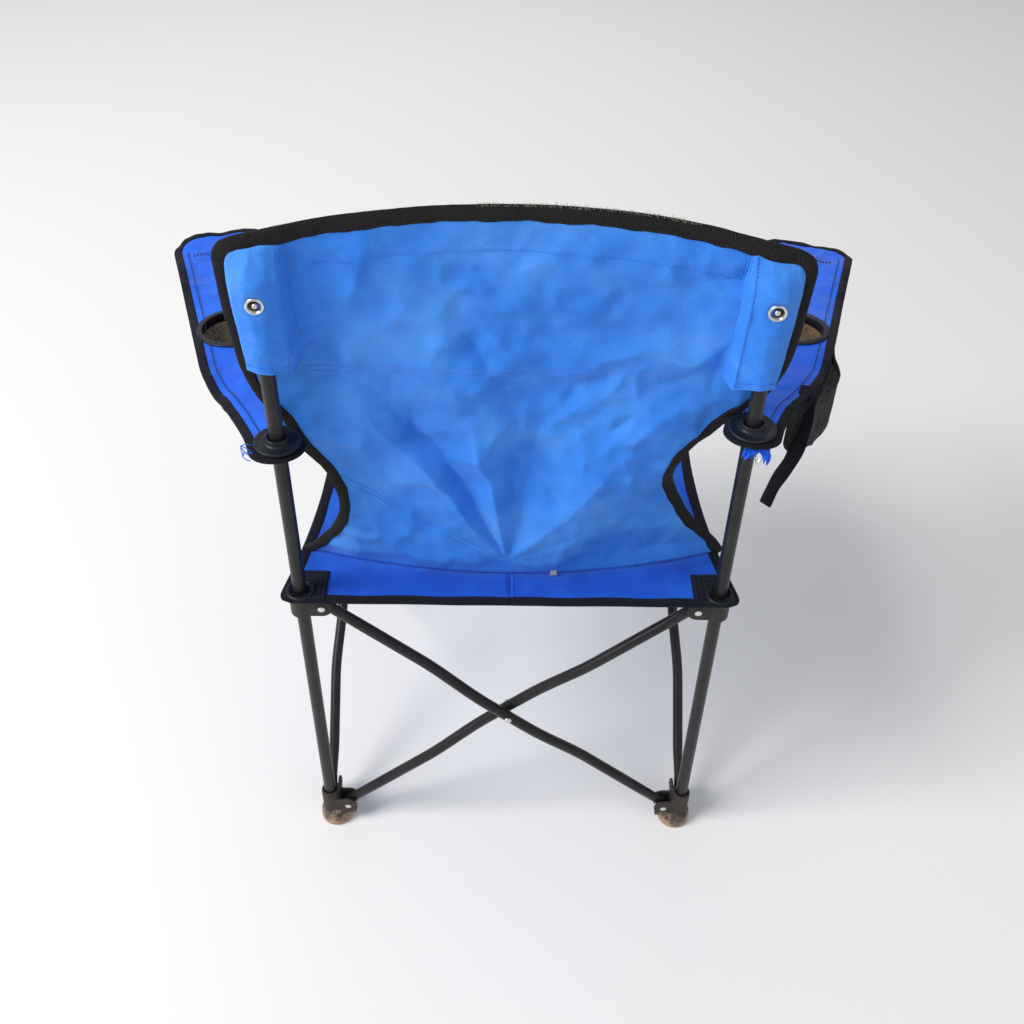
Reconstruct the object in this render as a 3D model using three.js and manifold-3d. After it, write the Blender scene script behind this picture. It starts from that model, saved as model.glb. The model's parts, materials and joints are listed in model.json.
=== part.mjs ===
// Folding camp chair: four crossed pairs of steel tube join four feet to four hubs,
// two tall posts carry the back, and the front pair runs on upwards to carry the arms.
// Millimetres, +Z up, the seat faces -Y, and the sitter's left is +X.
// The origin is on the floor, midway between the four feet.

import * as THREE from "three";
import { mergeVertices } from "three/addons/utils/BufferGeometryUtils.js";
import Module from "manifold-3d";

const wasm = await Module();
wasm.setup();

// ---- Driving sizes ----------------------------------------------------------

const CORNER_SPACING = 490; // corner axis to corner axis, across and along
const POST_DIAMETER = 16;
const POST_WALL = 1;
const POST_TOP = 915;
const TUBE_DIAMETER = 14;
const TUBE_WALL = 1;
const PIVOT_INSET = 24; // corner axis to the pivot of a cross tube
const FOOT_PIVOT_HEIGHT = 35;
const HUB_PIVOT_HEIGHT = 445;
const FOLD_TRAVEL = 42; // degrees that each cross tube turns as the chair closes
const ARM_REACH = 246; // how far a front tube runs on past its hub pivot
const FOOT_DIAMETER = 53;
const FOOT_BASE_HEIGHT = 22;
const SOCKET_HEIGHT = 62;
const HUB_HEIGHT = 28;
const LUG_RADIUS = 13;
const LUG_CHEEK = 3.5;
const RIVET_DIAMETER = 5;
const RIVET_HEAD_DIAMETER = 9;
const RIVET_HEAD_HEIGHT = 1.6;
const COLLAR_DIAMETER = 50;
const COLLAR_THICKNESS = 4;
const COLLAR_HEIGHT = { left: 690, right: 716 }; // underside of each arm collar
const FABRIC = 1.2; // seat and back, with their hems
const ARM_FABRIC = 2; // two layers and a binding
const ARM_WIDTH = 106;
const ARM_REAR_WIDTH = 62;
const ARM_FRONT_OVERHANG = 22.2;
const ARM_REAR_OVERHANG = 31;
const CUP_DIAMETER = 84;
const CUP_DEPTH = 118;
const CUP_FLANGE = 5;
const CUP_FLANGE_THICKNESS = 3;
const CUP_WALL = 1.2;
const CUP_ALONG_ARM = 272; // post axis to cup axis
const CUP_OUTWARD = 5;
const BACK_TOP = 955;
const BACK_OVERHANG = 28; // how far the back runs past a post axis, sideways
const BACK_GAP = 6.8; // between the seat and the hem of the back
const SLEEVE_WIDTH = 60;
const SLEEVE_BOTTOM = 800;
const SCREW_HEIGHT = 865;
const SEAT_OVERHANG = 16.5; // how far the seat runs past a corner axis, front and rear
const SEAT_CORNER = 18; // how far the seat runs past a corner axis, sideways
const SEAT_WAIST = 12; // how far each side edge curves in
const POCKET_LENGTH = 180;
const POCKET_DEPTH = 84;
const POCKET_THICKNESS = 22;
const POCKET_ALONG_ARM = 84;

// ---- Clearances -------------------------------------------------------------

const TOUCH = 0.3; // between pieces that bear on each other
const SLIDE = 1; // around a post that slides or a tube that swings
const TUBE_GAP = 2; // between two tubes where they cross
const END_STUB = 7; // tube beyond its end pivot
const TUBE_DIVISIONS = 5; // half the sides of a tube's section

// ---- Values that follow -----------------------------------------------------

const half = CORNER_SPACING / 2;
const postRadius = POST_DIAMETER / 2;
const tubeRadius = TUBE_DIAMETER / 2;
const pivotSpan = CORNER_SPACING - 2 * PIVOT_INSET;
const pivotRise = HUB_PIVOT_HEIGHT - FOOT_PIVOT_HEIGHT;
const tubeLength = Math.hypot(pivotSpan, pivotRise); // pivot to pivot
const openAngle = Math.atan2(pivotRise, pivotSpan);
const closedAngle = openAngle + THREE.MathUtils.degToRad(FOLD_TRAVEL);
const jog = (TUBE_DIAMETER + TUBE_GAP) / 2; // sideways bend at the crossing
const slotWidth = TUBE_DIAMETER + SLIDE;
const lugWidth = slotWidth + 2 * LUG_CHEEK;
const holeRadius = RIVET_DIAMETER / 2 + TOUCH;
const hubTop = HUB_PIVOT_HEIGHT + HUB_HEIGHT / 2;
const seatUnderside = hubTop + TOUCH * 10;
const backBottom = seatUnderside + FABRIC + BACK_GAP;

const CORNERS = [
  { name: "rear_left", x: 1, y: 1 },
  { name: "rear_right", x: -1, y: 1 },
  { name: "front_left", x: 1, y: -1 },
  { name: "front_right", x: -1, y: -1 },
];

// ---- Finishes ---------------------------------------------------------------

const finish = (color, roughness, metalness = 0) =>
  new THREE.MeshStandardMaterial({ color, roughness, metalness });

const steelBlack = finish(0x25272b, 0.42, 0.6);
const rivetSteel = finish(0xb9bcc0, 0.3, 1);
const footPlastic = finish(0x3a342e, 0.7);
const hubPlastic = finish(0x26262a, 0.55);
const collarPlastic = finish(0x1e2430, 0.5);
const blueCloth = finish(0x1c6fd0, 0.85);
const cupMesh = finish(0x5c4426, 0.9);
const blackMesh = finish(0x17171a, 0.9);

// ---- Solids -----------------------------------------------------------------

// A closed three.js geometry as a solid that can be joined and cut.
function solid(geometry) {
  const bare = geometry.index ? geometry.toNonIndexed() : geometry.clone();
  bare.deleteAttribute("normal");
  bare.deleteAttribute("uv");
  const merged = mergeVertices(bare, 1e-4);
  return new wasm.Manifold(
    new wasm.Mesh({
      numProp: 3,
      vertProperties: merged.attributes.position.array,
      triVerts: new Uint32Array(merged.index.array),
    }),
  );
}

function geometryOf(body) {
  const mesh = body.getMesh();
  const geometry = new THREE.BufferGeometry();
  geometry.setAttribute("position", new THREE.BufferAttribute(mesh.vertProperties, 3));
  geometry.setIndex(new THREE.BufferAttribute(mesh.triVerts, 1));
  geometry.computeVertexNormals();
  return geometry;
}

function box(x0, x1, y0, y1, z0, z1) {
  const geometry = new THREE.BoxGeometry(x1 - x0, y1 - y0, z1 - z0);
  geometry.translate((x0 + x1) / 2, (y0 + y1) / 2, (z0 + z1) / 2);
  return geometry;
}

// An upright cylinder on the Z axis.
function upright(radius, z0, z1, sides = 14) {
  const geometry = new THREE.CylinderGeometry(radius, radius, z1 - z0, sides);
  geometry.rotateX(Math.PI / 2);
  geometry.translate(0, 0, (z0 + z1) / 2);
  return geometry;
}

// A profile of [radius, height] points turned about the Z axis.
function turned(profile, sides = 16) {
  const points = profile.map(([radius, height]) => new THREE.Vector2(radius, height));
  const geometry = new THREE.LatheGeometry(points, sides);
  geometry.rotateX(Math.PI / 2);
  return geometry;
}

// An outline drawn in X and Z, given depth across Y and centred on it.
function plateXZ(shape, depth, segments = 8) {
  const geometry = new THREE.ExtrudeGeometry(shape, {
    depth,
    bevelEnabled: false,
    curveSegments: segments,
  });
  geometry.translate(0, 0, -depth / 2);
  geometry.rotateX(Math.PI / 2);
  return geometry;
}

// An outline drawn in X and Y, given height upwards from z = 0.
function plateXY(shape, height, segments = 12) {
  return new THREE.ExtrudeGeometry(shape, {
    depth: height,
    bevelEnabled: false,
    curveSegments: segments,
  });
}

const group = new THREE.Group();

function add(name, geometry, material, parent = group) {
  const mesh = new THREE.Mesh(geometry, material);
  mesh.name = name;
  parent.add(mesh);
  return mesh;
}

// ---- Lugs: the forked ears that hold the tube ends ---------------------------

// One fork along +X, on a corner axis at the origin, with its pivot at pivotHeight.
function forkBody(pivotHeight, foot) {
  const outline = new THREE.Shape();
  if (foot) {
    outline.moveTo(0, FOOT_BASE_HEIGHT - 2);
    outline.lineTo(PIVOT_INSET + LUG_RADIUS * 0.8, FOOT_BASE_HEIGHT - 2);
    outline.lineTo(PIVOT_INSET + LUG_RADIUS, pivotHeight);
    outline.absarc(PIVOT_INSET, pivotHeight, LUG_RADIUS, 0, Math.PI / 2, false);
    outline.lineTo(0, pivotHeight + LUG_RADIUS);
  } else {
    outline.moveTo(0, pivotHeight - LUG_RADIUS);
    outline.lineTo(PIVOT_INSET, pivotHeight - LUG_RADIUS);
    outline.absarc(PIVOT_INSET, pivotHeight, LUG_RADIUS, -Math.PI / 2, Math.PI / 2, false);
    outline.lineTo(0, pivotHeight + LUG_RADIUS);
  }
  return solid(plateXZ(outline, lugWidth));
}

// Room for the tube inside the fork, from open through half way to closed. rise is +1 in a foot, where the
// tube leaves upwards, and -1 in a hub. back is how far the tube runs past its pivot.
function forkSlot(pivotHeight, rise, back) {
  const reach = 70;
  const bore = tubeRadius + SLIDE;
  const cuts = [];
  for (const angle of [openAngle, (openAngle + closedAngle) / 2, closedAngle]) {
    const cut = box(-back, reach, -slotWidth / 2, slotWidth / 2, -bore, bore);
    cut.rotateY(-rise * angle);
    cut.translate(PIVOT_INSET, 0, pivotHeight);
    cuts.push(solid(cut));
  }
  return cuts;
}

function rivetHole(pivotHeight) {
  const hole = new THREE.CylinderGeometry(holeRadius, holeRadius, lugWidth + 2, 8);
  hole.translate(PIVOT_INSET, 0, pivotHeight);
  return solid(hole);
}

// Both forks of a corner, along X and along Y, joined to its core and cut.
function cornerPiece(core, corner, pivotHeight, rise, backAlongX) {
  const foot = rise > 0;
  const back = END_STUB + SLIDE;
  const turns = [
    { angle: corner.x > 0 ? 180 : 0, back: backAlongX },
    { angle: corner.y > 0 ? -90 : 90, back },
  ];
  let body = core;
  for (const turn of turns) {
    body = body.add(forkBody(pivotHeight, foot).rotate([0, 0, turn.angle]));
  }
  for (const turn of turns) {
    const cuts = [...forkSlot(pivotHeight, rise, turn.back), rivetHole(pivotHeight)];
    for (const cut of cuts) {
      body = body.subtract(cut.rotate([0, 0, turn.angle]));
    }
  }
  return body;
}

// ---- Feet and hubs ------------------------------------------------------------

const socketRadius = postRadius + 4;
const postSeat = 8; // floor of the post socket

function footBody(corner) {
  const rim = FOOT_DIAMETER / 2;
  const base = turned([
    [0, 0],
    [rim - 3, 0],
    [rim, 3],
    [rim, 11],
    [rim - 3, 18],
    [rim - 9, FOOT_BASE_HEIGHT],
    [0, FOOT_BASE_HEIGHT],
  ]);
  const rear = corner.y > 0;
  const towerTop = rear ? SOCKET_HEIGHT : FOOT_PIVOT_HEIGHT + LUG_RADIUS;
  const tower = solid(upright(socketRadius, FOOT_BASE_HEIGHT - 2, towerTop));
  const back = END_STUB + SLIDE;
  let body = cornerPiece(solid(base).add(tower), corner, FOOT_PIVOT_HEIGHT, 1, back);
  if (rear) {
    body = body.subtract(solid(upright(postRadius + TOUCH, postSeat, SOCKET_HEIGHT + 1)));
  }
  return body;
}

function hubBody(corner) {
  const rear = corner.y > 0;
  const radius = postRadius + SLIDE + 5;
  const core = solid(upright(radius, hubTop - HUB_HEIGHT, hubTop));
  const back = rear ? END_STUB + SLIDE : ARM_REACH;
  let body = cornerPiece(core, corner, HUB_PIVOT_HEIGHT, -1, back);
  if (rear) {
    body = body.subtract(solid(upright(postRadius + SLIDE, hubTop - HUB_HEIGHT - 1, hubTop + 1)));
  }
  return body;
}

for (const corner of CORNERS) {
  const place = [corner.x * half, corner.y * half, 0];
  const foot = geometryOf(footBody(corner).translate(place));
  add("foot_" + corner.name, foot, footPlastic);
  const hub = geometryOf(hubBody(corner).translate(place));
  add("hub_" + corner.name, hub, hubPlastic);
}

// ---- Rear posts ---------------------------------------------------------------

function ring(outer, inner) {
  const shape = new THREE.Shape();
  shape.absarc(0, 0, outer, 0, 2 * Math.PI, false);
  const hole = new THREE.Path();
  hole.absarc(0, 0, inner, 0, 2 * Math.PI, true);
  shape.holes.push(hole);
  return shape;
}

const SIDES = ["left", "right"];
const sideSign = { left: 1, right: -1 };

for (const side of SIDES) {
  const x = sideSign[side] * half;
  const postBottom = postSeat + TOUCH;
  const tube = plateXY(ring(postRadius, postRadius - POST_WALL), POST_TOP - postBottom, 8);
  tube.translate(x, half, postBottom);
  add("post_" + side, tube, steelBlack);

  const plug = turned(
    [
      [0, POST_TOP - 14],
      [postRadius - POST_WALL - TOUCH, POST_TOP - 14],
      [postRadius - POST_WALL - TOUCH, POST_TOP + TOUCH],
      [postRadius, POST_TOP + TOUCH],
      [postRadius - 1, POST_TOP + 2],
      [postRadius - 3.5, POST_TOP + 3.4],
      [0, POST_TOP + 4],
    ],
    20,
  );
  plug.translate(x, half, 0);
  add("post_cap_" + side, plug, hubPlastic);
}

// ---- Cross tubes --------------------------------------------------------------

// The centre line of a cross tube: straight, but for a shallow sideways bend that lets it
// pass its partner at the crossing.
class CrossTubeLine extends THREE.Curve {
  constructor(foot, along, sideways, bend, end) {
    super();
    this.foot = foot;
    this.along = along;
    this.sideways = sideways;
    this.bend = bend;
    this.end = end;
  }

  getPoint(t, target = new THREE.Vector3()) {
    const run = THREE.MathUtils.lerp(-END_STUB, this.end, t);
    const away = Math.abs(run - tubeLength / 2);
    const level = 1 - THREE.MathUtils.smoothstep(away, 35, 150);
    return target
      .copy(this.foot)
      .addScaledVector(this.along, run)
      .addScaledVector(this.sideways, this.bend * level);
  }
}

const CROSSINGS = [
  // from is the corner of the lower pivot, to the corner of the upper one; bend is the side
  // on which the tube passes its partner, along +X or +Y.
  { name: "rear_tube_1", from: CORNERS[0], to: CORNERS[1], bend: -1 },
  { name: "rear_tube_2", from: CORNERS[1], to: CORNERS[0], bend: 1 },
  { name: "front_tube_1", from: CORNERS[2], to: CORNERS[3], bend: -1, arm: true },
  { name: "front_tube_2", from: CORNERS[3], to: CORNERS[2], bend: 1, arm: true },
  { name: "left_tube_1", from: CORNERS[0], to: CORNERS[2], bend: -1 },
  { name: "left_tube_2", from: CORNERS[2], to: CORNERS[0], bend: 1 },
  { name: "right_tube_1", from: CORNERS[1], to: CORNERS[3], bend: 1 },
  { name: "right_tube_2", from: CORNERS[3], to: CORNERS[1], bend: -1 },
];

const cornerPoint = (corner, height) =>
  new THREE.Vector3(corner.x * half, corner.y * half, height);

for (const tube of CROSSINGS) {
  const level = new THREE.Vector3(tube.to.x - tube.from.x, tube.to.y - tube.from.y, 0);
  level.normalize();
  const foot = cornerPoint(tube.from, FOOT_PIVOT_HEIGHT).addScaledVector(level, PIVOT_INSET);
  const along = level.clone().multiplyScalar(Math.cos(openAngle));
  along.z = Math.sin(openAngle);
  const sideways = new THREE.Vector3(Math.abs(level.y), Math.abs(level.x), 0);
  const end = tubeLength + (tube.arm ? ARM_REACH : END_STUB);
  const line = new CrossTubeLine(foot, along, sideways, tube.bend * jog, end);
  const geometry = new THREE.ExtrudeGeometry(ring(tubeRadius, tubeRadius - TUBE_WALL), {
    steps: Math.round(end / 75),
    curveSegments: TUBE_DIVISIONS,
    bevelEnabled: false,
    extrudePath: line,
  });
  let body = solid(geometry);
  for (const run of [0, tubeLength / 2, tubeLength]) {
    const hole = new THREE.CylinderGeometry(holeRadius, holeRadius, 60, 8);
    if (level.y !== 0) hole.rotateZ(Math.PI / 2);
    const at = foot.clone().addScaledVector(along, run);
    hole.translate(at.x, at.y, at.z);
    body = body.subtract(solid(hole));
  }
  add(tube.name, geometryOf(body), steelBlack);
}

// ---- Rivets -------------------------------------------------------------------

// A rivet along Y through a total thickness, with an optional spacer at its middle.
function rivet(thickness, spacer) {
  const shank = RIVET_DIAMETER / 2;
  const head = RIVET_HEAD_DIAMETER / 2;
  const inside = thickness / 2 + TOUCH;
  const crown = [
    [head, inside],
    [head * 0.7, inside + RIVET_HEAD_HEIGHT],
    [0, inside + RIVET_HEAD_HEIGHT],
  ];
  const upper = spacer
    ? [[head, 0], [head, TUBE_GAP / 2 - TOUCH], [shank, TUBE_GAP / 2 - TOUCH]]
    : [[shank, 0]];
  const above = [...upper, [shank, inside], ...crown];
  const below = above
    .filter(([, height]) => height > 0)
    .map(([radius, height]) => [radius, -height])
    .reverse();
  const points = [...below, ...above].map(([radius, height]) => new THREE.Vector2(radius, height));
  return new THREE.LatheGeometry(points, 8);
}

for (const tube of CROSSINGS) {
  const alongX = tube.from.y === tube.to.y;
  const ends = [
    { corner: tube.from, height: FOOT_PIVOT_HEIGHT, place: "foot" },
    { corner: tube.to, height: HUB_PIVOT_HEIGHT, place: "hub" },
  ];
  for (const end of ends) {
    const pin = rivet(lugWidth, false);
    if (!alongX) pin.rotateZ(Math.PI / 2);
    const at = cornerPoint(end.corner, end.height);
    if (alongX) at.x -= end.corner.x * PIVOT_INSET;
    else at.y -= end.corner.y * PIVOT_INSET;
    pin.translate(at.x, at.y, at.z);
    add("rivet_" + tube.name + "_" + end.place, pin, rivetSteel);
  }
}

const crossHeight = (FOOT_PIVOT_HEIGHT + HUB_PIVOT_HEIGHT) / 2;
const CENTRES = [
  { name: "rear", x: 0, y: half },
  { name: "front", x: 0, y: -half },
  { name: "left", x: half, y: 0 },
  { name: "right", x: -half, y: 0 },
];

for (const centre of CENTRES) {
  const pin = rivet(2 * TUBE_DIAMETER + TUBE_GAP, true);
  if (centre.x !== 0) pin.rotateZ(Math.PI / 2);
  pin.translate(centre.x, centre.y, crossHeight);
  add("cross_rivet_" + centre.name, pin, rivetSteel);
}

// ---- Arm collars ----------------------------------------------------------------

for (const side of SIDES) {
  const bottom = COLLAR_HEIGHT[side];
  const rim = COLLAR_DIAMETER / 2;
  const bore = postRadius + TOUCH;
  const disc = turned([
    [bore, bottom],
    [rim - 1.5, bottom],
    [rim, bottom + 1.5],
    [rim - 1, bottom + COLLAR_THICKNESS - 0.6],
    [rim - 4, bottom + COLLAR_THICKNESS],
    [postRadius + 5, bottom + COLLAR_THICKNESS],
    [postRadius + 4, bottom + COLLAR_THICKNESS + 4],
    [postRadius + 2, bottom + COLLAR_THICKNESS + 5],
    [bore, bottom + COLLAR_THICKNESS + 5],
    [bore, bottom],
  ]);
  disc.translate(sideSign[side] * half, half, 0);
  add("arm_collar_" + side, disc, collarPlastic);
}

// ---- Armrests, cup holders and side pocket --------------------------------------

// Each armrest lies between the post, just under its collar, and the end of a front tube.
// Its own frame has X along the arm towards the front, Y outwards and Z up, with the origin
// on the post axis.
const armTip = new THREE.Vector3(
  half - PIVOT_INSET + ARM_REACH * Math.cos(openAngle),
  -half,
  HUB_PIVOT_HEIGHT + ARM_REACH * Math.sin(openAngle),
);
const armCapRadius = tubeRadius + 5;
const collarDrop = 8; // arm fabric below the collar, on the post axis

function armFrame(side) {
  const sign = sideSign[side];
  const rear = new THREE.Vector3(sign * half, half, COLLAR_HEIGHT[side] - collarDrop);
  const front = new THREE.Vector3(sign * armTip.x, armTip.y, armTip.z + armCapRadius + 3);
  const along = front.clone().sub(rear);
  const length = along.length();
  along.normalize();
  const outwards = new THREE.Vector3(-along.y, along.x, 0).normalize().multiplyScalar(sign);
  const frame = new THREE.Group();
  const up = new THREE.Vector3().crossVectors(along, outwards).multiplyScalar(sign);
  // The right arm's frame keeps +Y pointing at the sitter so that it is right-handed.
  const across = outwards.clone().multiplyScalar(sign);
  frame.matrixAutoUpdate = false;
  frame.matrix.makeBasis(along, across, up).setPosition(rear);
  group.add(frame);
  return { frame, length, outward: sign };
}

function armOutline(length, outward) {
  const wide = ARM_WIDTH / 2;
  const narrow = ARM_REAR_WIDTH / 2;
  const front = length + ARM_FRONT_OVERHANG;
  const corner = 24;
  const shape = new THREE.Shape();
  shape.moveTo(0, -narrow);
  shape.bezierCurveTo(70, -narrow, 90, -wide, 190, -wide);
  shape.lineTo(front - corner, -wide);
  shape.absarc(front - corner, -wide + corner, corner, -Math.PI / 2, 0, false);
  shape.lineTo(front, wide - corner);
  shape.absarc(front - corner, wide - corner, corner, 0, Math.PI / 2, false);
  shape.lineTo(190, wide);
  shape.bezierCurveTo(90, wide, 70, narrow, 0, narrow);
  shape.absellipse(0, 0, ARM_REAR_OVERHANG, narrow, Math.PI / 2, 1.5 * Math.PI, false);
  const cup = new THREE.Path();
  const cupRadius = CUP_DIAMETER / 2 + CUP_WALL;
  cup.absarc(CUP_ALONG_ARM, outward * CUP_OUTWARD, cupRadius, 0, 2 * Math.PI, true);
  const post = new THREE.Path();
  post.absarc(0, 0, postRadius + 2 * SLIDE, 0, 2 * Math.PI, true);
  shape.holes.push(cup, post);
  return shape;
}

function cupHolder(outward) {
  const top = ARM_FABRIC + TOUCH;
  const inner = CUP_DIAMETER / 2 - TOUCH;
  const flange = CUP_DIAMETER / 2 + CUP_FLANGE;
  const foot = inner - 6;
  const cup = turned([
    [0, -CUP_DEPTH],
    [foot - 4, -CUP_DEPTH],
    [foot, -CUP_DEPTH + 4],
    [inner, top],
    [flange, top],
    [flange, top + CUP_FLANGE_THICKNESS - 1],
    [flange - 1.5, top + CUP_FLANGE_THICKNESS],
    [inner - CUP_WALL, top + CUP_FLANGE_THICKNESS],
    [foot - CUP_WALL, -CUP_DEPTH + 4],
    [foot - 4 - CUP_WALL, -CUP_DEPTH + CUP_WALL],
    [0, -CUP_DEPTH + CUP_WALL],
  ]);
  cup.translate(CUP_ALONG_ARM, outward * CUP_OUTWARD, 0);
  return cup;
}

for (const side of SIDES) {
  const { frame, length, outward } = armFrame(side);
  add("armrest_" + side, plateXY(armOutline(length, outward), ARM_FABRIC, 10), blueCloth, frame);
  add("cup_holder_" + side, cupHolder(outward), cupMesh, frame);
  if (side === "right") {
    // A netting pocket that hangs under the outer edge, open at the top.
    const wall = CUP_WALL;
    const far = -POCKET_THICKNESS;
    const outer = solid(box(0, POCKET_LENGTH, far, 0, -POCKET_DEPTH, 0));
    const cavity = box(wall, POCKET_LENGTH - wall, far + wall, -wall, wall - POCKET_DEPTH, 1);
    const pocket = geometryOf(outer.subtract(solid(cavity)));
    pocket.translate(POCKET_ALONG_ARM, -ARM_WIDTH / 2 - TOUCH, -TOUCH);
    add("side_pocket", pocket, blackMesh, frame);
  }
}

// The caps on the ends of the front tubes, under the armrests.
for (const side of SIDES) {
  const sign = sideSign[side];
  const flats = Math.cos(Math.PI / (2 * TUBE_DIVISIONS));
  const inside = (tubeRadius - TUBE_WALL) * flats - TOUCH;
  const cap = turned(
    [
      [0, -16],
      [inside, -16],
      [inside, TOUCH],
      [armCapRadius - 2, TOUCH],
      [armCapRadius, TOUCH + 2],
      [armCapRadius - 1, TOUCH + 5],
      [armCapRadius - 5, TOUCH + 8],
      [0, TOUCH + 9],
    ],
    20,
  );
  cap.rotateY(sign * (Math.PI / 2 - openAngle));
  cap.translate(sign * armTip.x, armTip.y, armTip.z);
  add("arm_cap_" + side, cap, hubPlastic);
}

// ---- Seat ---------------------------------------------------------------------------

// The seat is sewn from two halves that meet on the centre line.
for (const side of SIDES) {
  const sign = sideSign[side];
  const edge = half + SEAT_CORNER;
  const end = half + SEAT_OVERHANG;
  const round = 12;
  const middle = TOUCH;
  const shape = new THREE.Shape();
  shape.moveTo(middle, -end);
  shape.lineTo(edge - round, -end);
  shape.absarc(edge - round, -end + round, round, -Math.PI / 2, 0, false);
  shape.quadraticCurveTo(edge - 2 * SEAT_WAIST, 0, edge, end - round);
  shape.absarc(edge - round, end - round, round, 0, Math.PI / 2, false);
  shape.lineTo(middle, end);
  const post = new THREE.Path();
  post.absarc(half, half, postRadius + 3 * SLIDE, 0, 2 * Math.PI, true);
  shape.holes.push(post);
  let body = solid(plateXY(shape, FABRIC, 8)).translate([0, 0, seatUnderside]);
  // The front tube comes up through a slot in the corner.
  const tubeAcross = (hubTop - HUB_PIVOT_HEIGHT) / Math.tan(openAngle);
  const slotInside = half - PIVOT_INSET + tubeAcross - tubeRadius / Math.sin(openAngle) - SLIDE;
  const slot = box(slotInside, edge - 4, -slotWidth / 2 - 1, slotWidth / 2 + 1, 0, 100);
  slot.translate(0, -half, hubTop - 20);
  body = body.subtract(solid(slot));
  const geometry = geometryOf(sign > 0 ? body : body.mirror([1, 0, 0]));
  add("seat_" + side, geometry, blueCloth);
}

// ---- Back ----------------------------------------------------------------------------

const sleeveHalfDepth = postRadius + 2.6;
const backTopY = half - sleeveHalfDepth - TOUCH - FABRIC / 2;
const highestCollar = Math.max(...Object.values(COLLAR_HEIGHT)) + COLLAR_THICKNESS + 5;
// The back leans so that it clears the sleeves at the top and the collars lower down.
const backLean = Math.atan2(
  COLLAR_DIAMETER / 2 + TOUCH - sleeveHalfDepth,
  BACK_TOP - highestCollar,
);

// Half of the back's outline, from the top middle down the side to the bottom middle.
function backHalf(shape, sign) {
  const wide = sign * (half + BACK_OVERHANG);
  const steps = [
    [0.5 * wide, BACK_TOP - 7, 0.95 * wide, BACK_TOP - 30],
    [wide, BACK_TOP - 36, wide, BACK_TOP - 60],
    [wide, BACK_TOP - 150, wide - sign * 16, BACK_TOP - 205],
    [wide - sign * 22, BACK_TOP - 226, wide - sign * 68, BACK_TOP - 232],
    [wide - sign * 94, backBottom + 185, wide - sign * 90, backBottom + 120],
    [wide - sign * 84, backBottom + 75, wide - sign * 42, backBottom + 50],
    [wide - sign * 40, backBottom, wide - sign * 120, backBottom],
  ];
  for (const [cx, cz, x, z] of steps) shape.quadraticCurveTo(cx, cz, x, z);
}

const leftHalf = new THREE.Shape();
leftHalf.moveTo(0, BACK_TOP);
backHalf(leftHalf, 1);
const rightHalf = new THREE.Shape();
rightHalf.moveTo(0, BACK_TOP);
backHalf(rightHalf, -1);
const backShape = new THREE.Shape([
  ...leftHalf.getPoints(4),
  ...rightHalf.getPoints(4).slice(1).reverse(),
]);
const backPanel = plateXZ(backShape, FABRIC);
backPanel.translate(0, 0, -BACK_TOP);
backPanel.rotateX(-backLean);
backPanel.translate(0, backTopY, BACK_TOP);
add("back_panel", backPanel, blueCloth);

// The sleeve over each post top: a flat pocket of cloth, closed at the top.
for (const side of SIDES) {
  const x = sideSign[side] * half;
  const oval = (across, deep) => {
    const shape = new THREE.Shape();
    shape.absellipse(0, 0, across, deep, 0, 2 * Math.PI, false);
    return shape;
  };
  const top = POST_TOP + 4 + TOUCH;
  const outer = plateXY(oval(SLEEVE_WIDTH / 2, sleeveHalfDepth), top + FABRIC - SLEEVE_BOTTOM, 12);
  const inner = plateXY(
    oval(SLEEVE_WIDTH / 2 - FABRIC, sleeveHalfDepth - FABRIC),
    top - SLEEVE_BOTTOM + 1,
    12,
  );
  inner.translate(0, 0, -1);
  const hole = new THREE.CylinderGeometry(4 + TOUCH, 4 + TOUCH, 12, 16);
  hole.translate(0, sleeveHalfDepth, SCREW_HEIGHT - SLEEVE_BOTTOM);
  const body = solid(outer).subtract(solid(inner)).subtract(solid(hole));
  const sleeve = geometryOf(body.translate([x, half, SLEEVE_BOTTOM]));
  add("post_sleeve_" + side, sleeve, blueCloth);

  // The eyelet and screw that pin the sleeve to its post.
  const face = sleeveHalfDepth + TOUCH;
  const screw = new THREE.LatheGeometry(
    [
      [0, postRadius + TOUCH],
      [4, postRadius + TOUCH],
      [4, face],
      [8, face],
      [8, face + 0.8],
      [6, face + 1.6],
      [4, face + 0.8],
      [3, face + 2],
      [0, face + 2.4],
    ].map(([radius, height]) => new THREE.Vector2(radius, height)),
    20,
  );
  screw.translate(x, half, SCREW_HEIGHT);
  add("sleeve_screw_" + side, screw, rivetSteel);
}

export default group;
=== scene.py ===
"""Folding camp chair: the looks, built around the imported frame.

Metres, +Z up, the seat faces -Y and the sitter's left is +X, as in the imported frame.
"""

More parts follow.
